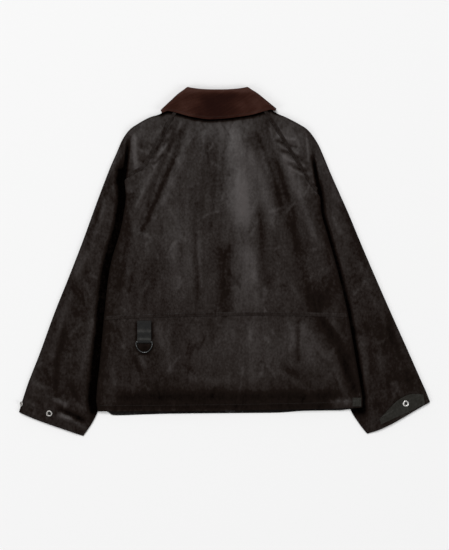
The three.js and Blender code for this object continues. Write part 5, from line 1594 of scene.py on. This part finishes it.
# %% [markdown]
# ## Floor, light and camera
# The jacket lies on a plain pale floor. A large soft light stands behind the collar, a little to the left,
# so that the folds and the collar's edge cast soft shadows towards the hem. Two weaker lights stand low at
# the sides and light the edges of the sleeves, and a pale world lifts the floor to near white. A little
# emission helps it there.

# %% Floor and world
FLOOR = {"half": 12.0, "height": -0.0003, "white": 0.84, "glow": 0.11}
WORLD_STRENGTH = 0.28
corners = [
    (x * FLOOR["half"], y * FLOOR["half"], FLOOR["height"]) for x, y in ((-1, -1), (1, -1), (1, 1), (-1, 1))]
floor_mesh = bpy.data.meshes.new("floor")
floor_mesh.from_pydata(corners, [], [(0, 1, 2, 3)])
floor = bpy.data.objects.new("floor", floor_mesh)
bpy.context.scene.collection.objects.link(floor)
pale, tree, shader = new_finish("pale_floor")
fill_inputs(tree, shader, {
    "Base Color": (FLOOR["white"], FLOOR["white"], FLOOR["white"], 1), "Emission Color": (1, 1, 1, 1),
    "Emission Strength": FLOOR["glow"], "Roughness": 0.9, "Specular IOR Level": 0.1})
floor.data.materials.append(pale)

world = bpy.data.worlds.new("studio")
world.use_nodes = True
sky = world.node_tree.nodes["Background"].inputs
fill_inputs(world.node_tree, sky, {"Color": (1, 1, 1, 1), "Strength": WORLD_STRENGTH})
bpy.context.scene.world = world
bpy.context.scene.view_settings.view_transform = "Standard"
print("floor", 2 * FLOOR["half"], "m wide, world strength", WORLD_STRENGTH)

# %% Lights
LIGHTS = {
    "key": {"place": (-1.9, 5.2, 10.6), "size": 5.4, "power": 840},
    "left_side": {"place": (-6.8, -3.4, 5.4), "size": 3.6, "power": 150},
    "right_side": {"place": (6.8, -3.4, 5.4), "size": 3.6, "power": 150}}


def soft_light(name, place, size, power):
    """A square area light at a place, turned to face the middle of the jacket."""
    light = bpy.data.lights.new(name, "AREA")
    light.shape = "SQUARE"
    light.size = size
    light.energy = power
    lamp = bpy.data.objects.new(name, light)
    aim = -np.array(place) / np.linalg.norm(place)
    lamp.location = place
    lamp.rotation_euler = (np.arccos(-aim[2]), 0, np.arctan2(-aim[0], aim[1]))
    bpy.context.scene.collection.objects.link(lamp)


for name, light in LIGHTS.items():
    soft_light(name, **light)
print("lights:", *LIGHTS)

# %% Camera
PHOTO = {"width": 449, "height": 550, "mm_per_pixel": 2.2, "centre_x": 224.5, "centre_y": 261.5}
CAMERA_HEIGHT = 3.0
TRUE_SCALE_LEVEL = 0.004
SENSOR = 36.0
camera_data = bpy.data.cameras.new("camera")
camera = bpy.data.objects.new("camera", camera_data)
view_x = (PHOTO["width"] / 2 - PHOTO["centre_x"]) * PHOTO["mm_per_pixel"] * MM
view_y = (PHOTO["centre_y"] - PHOTO["height"] / 2) * PHOTO["mm_per_pixel"] * MM
camera.location = (view_x, view_y, CAMERA_HEIGHT)
camera_data.sensor_fit = "VERTICAL"
camera_data.sensor_height = SENSOR
view_height = PHOTO["height"] * PHOTO["mm_per_pixel"] * MM
camera_data.lens = SENSOR * (CAMERA_HEIGHT - TRUE_SCALE_LEVEL) / view_height
bpy.context.scene.collection.objects.link(camera)
bpy.context.scene.camera = camera
print("camera at", [round(value, 3) for value in camera.location], "lens", round(camera_data.lens, 1), "mm")
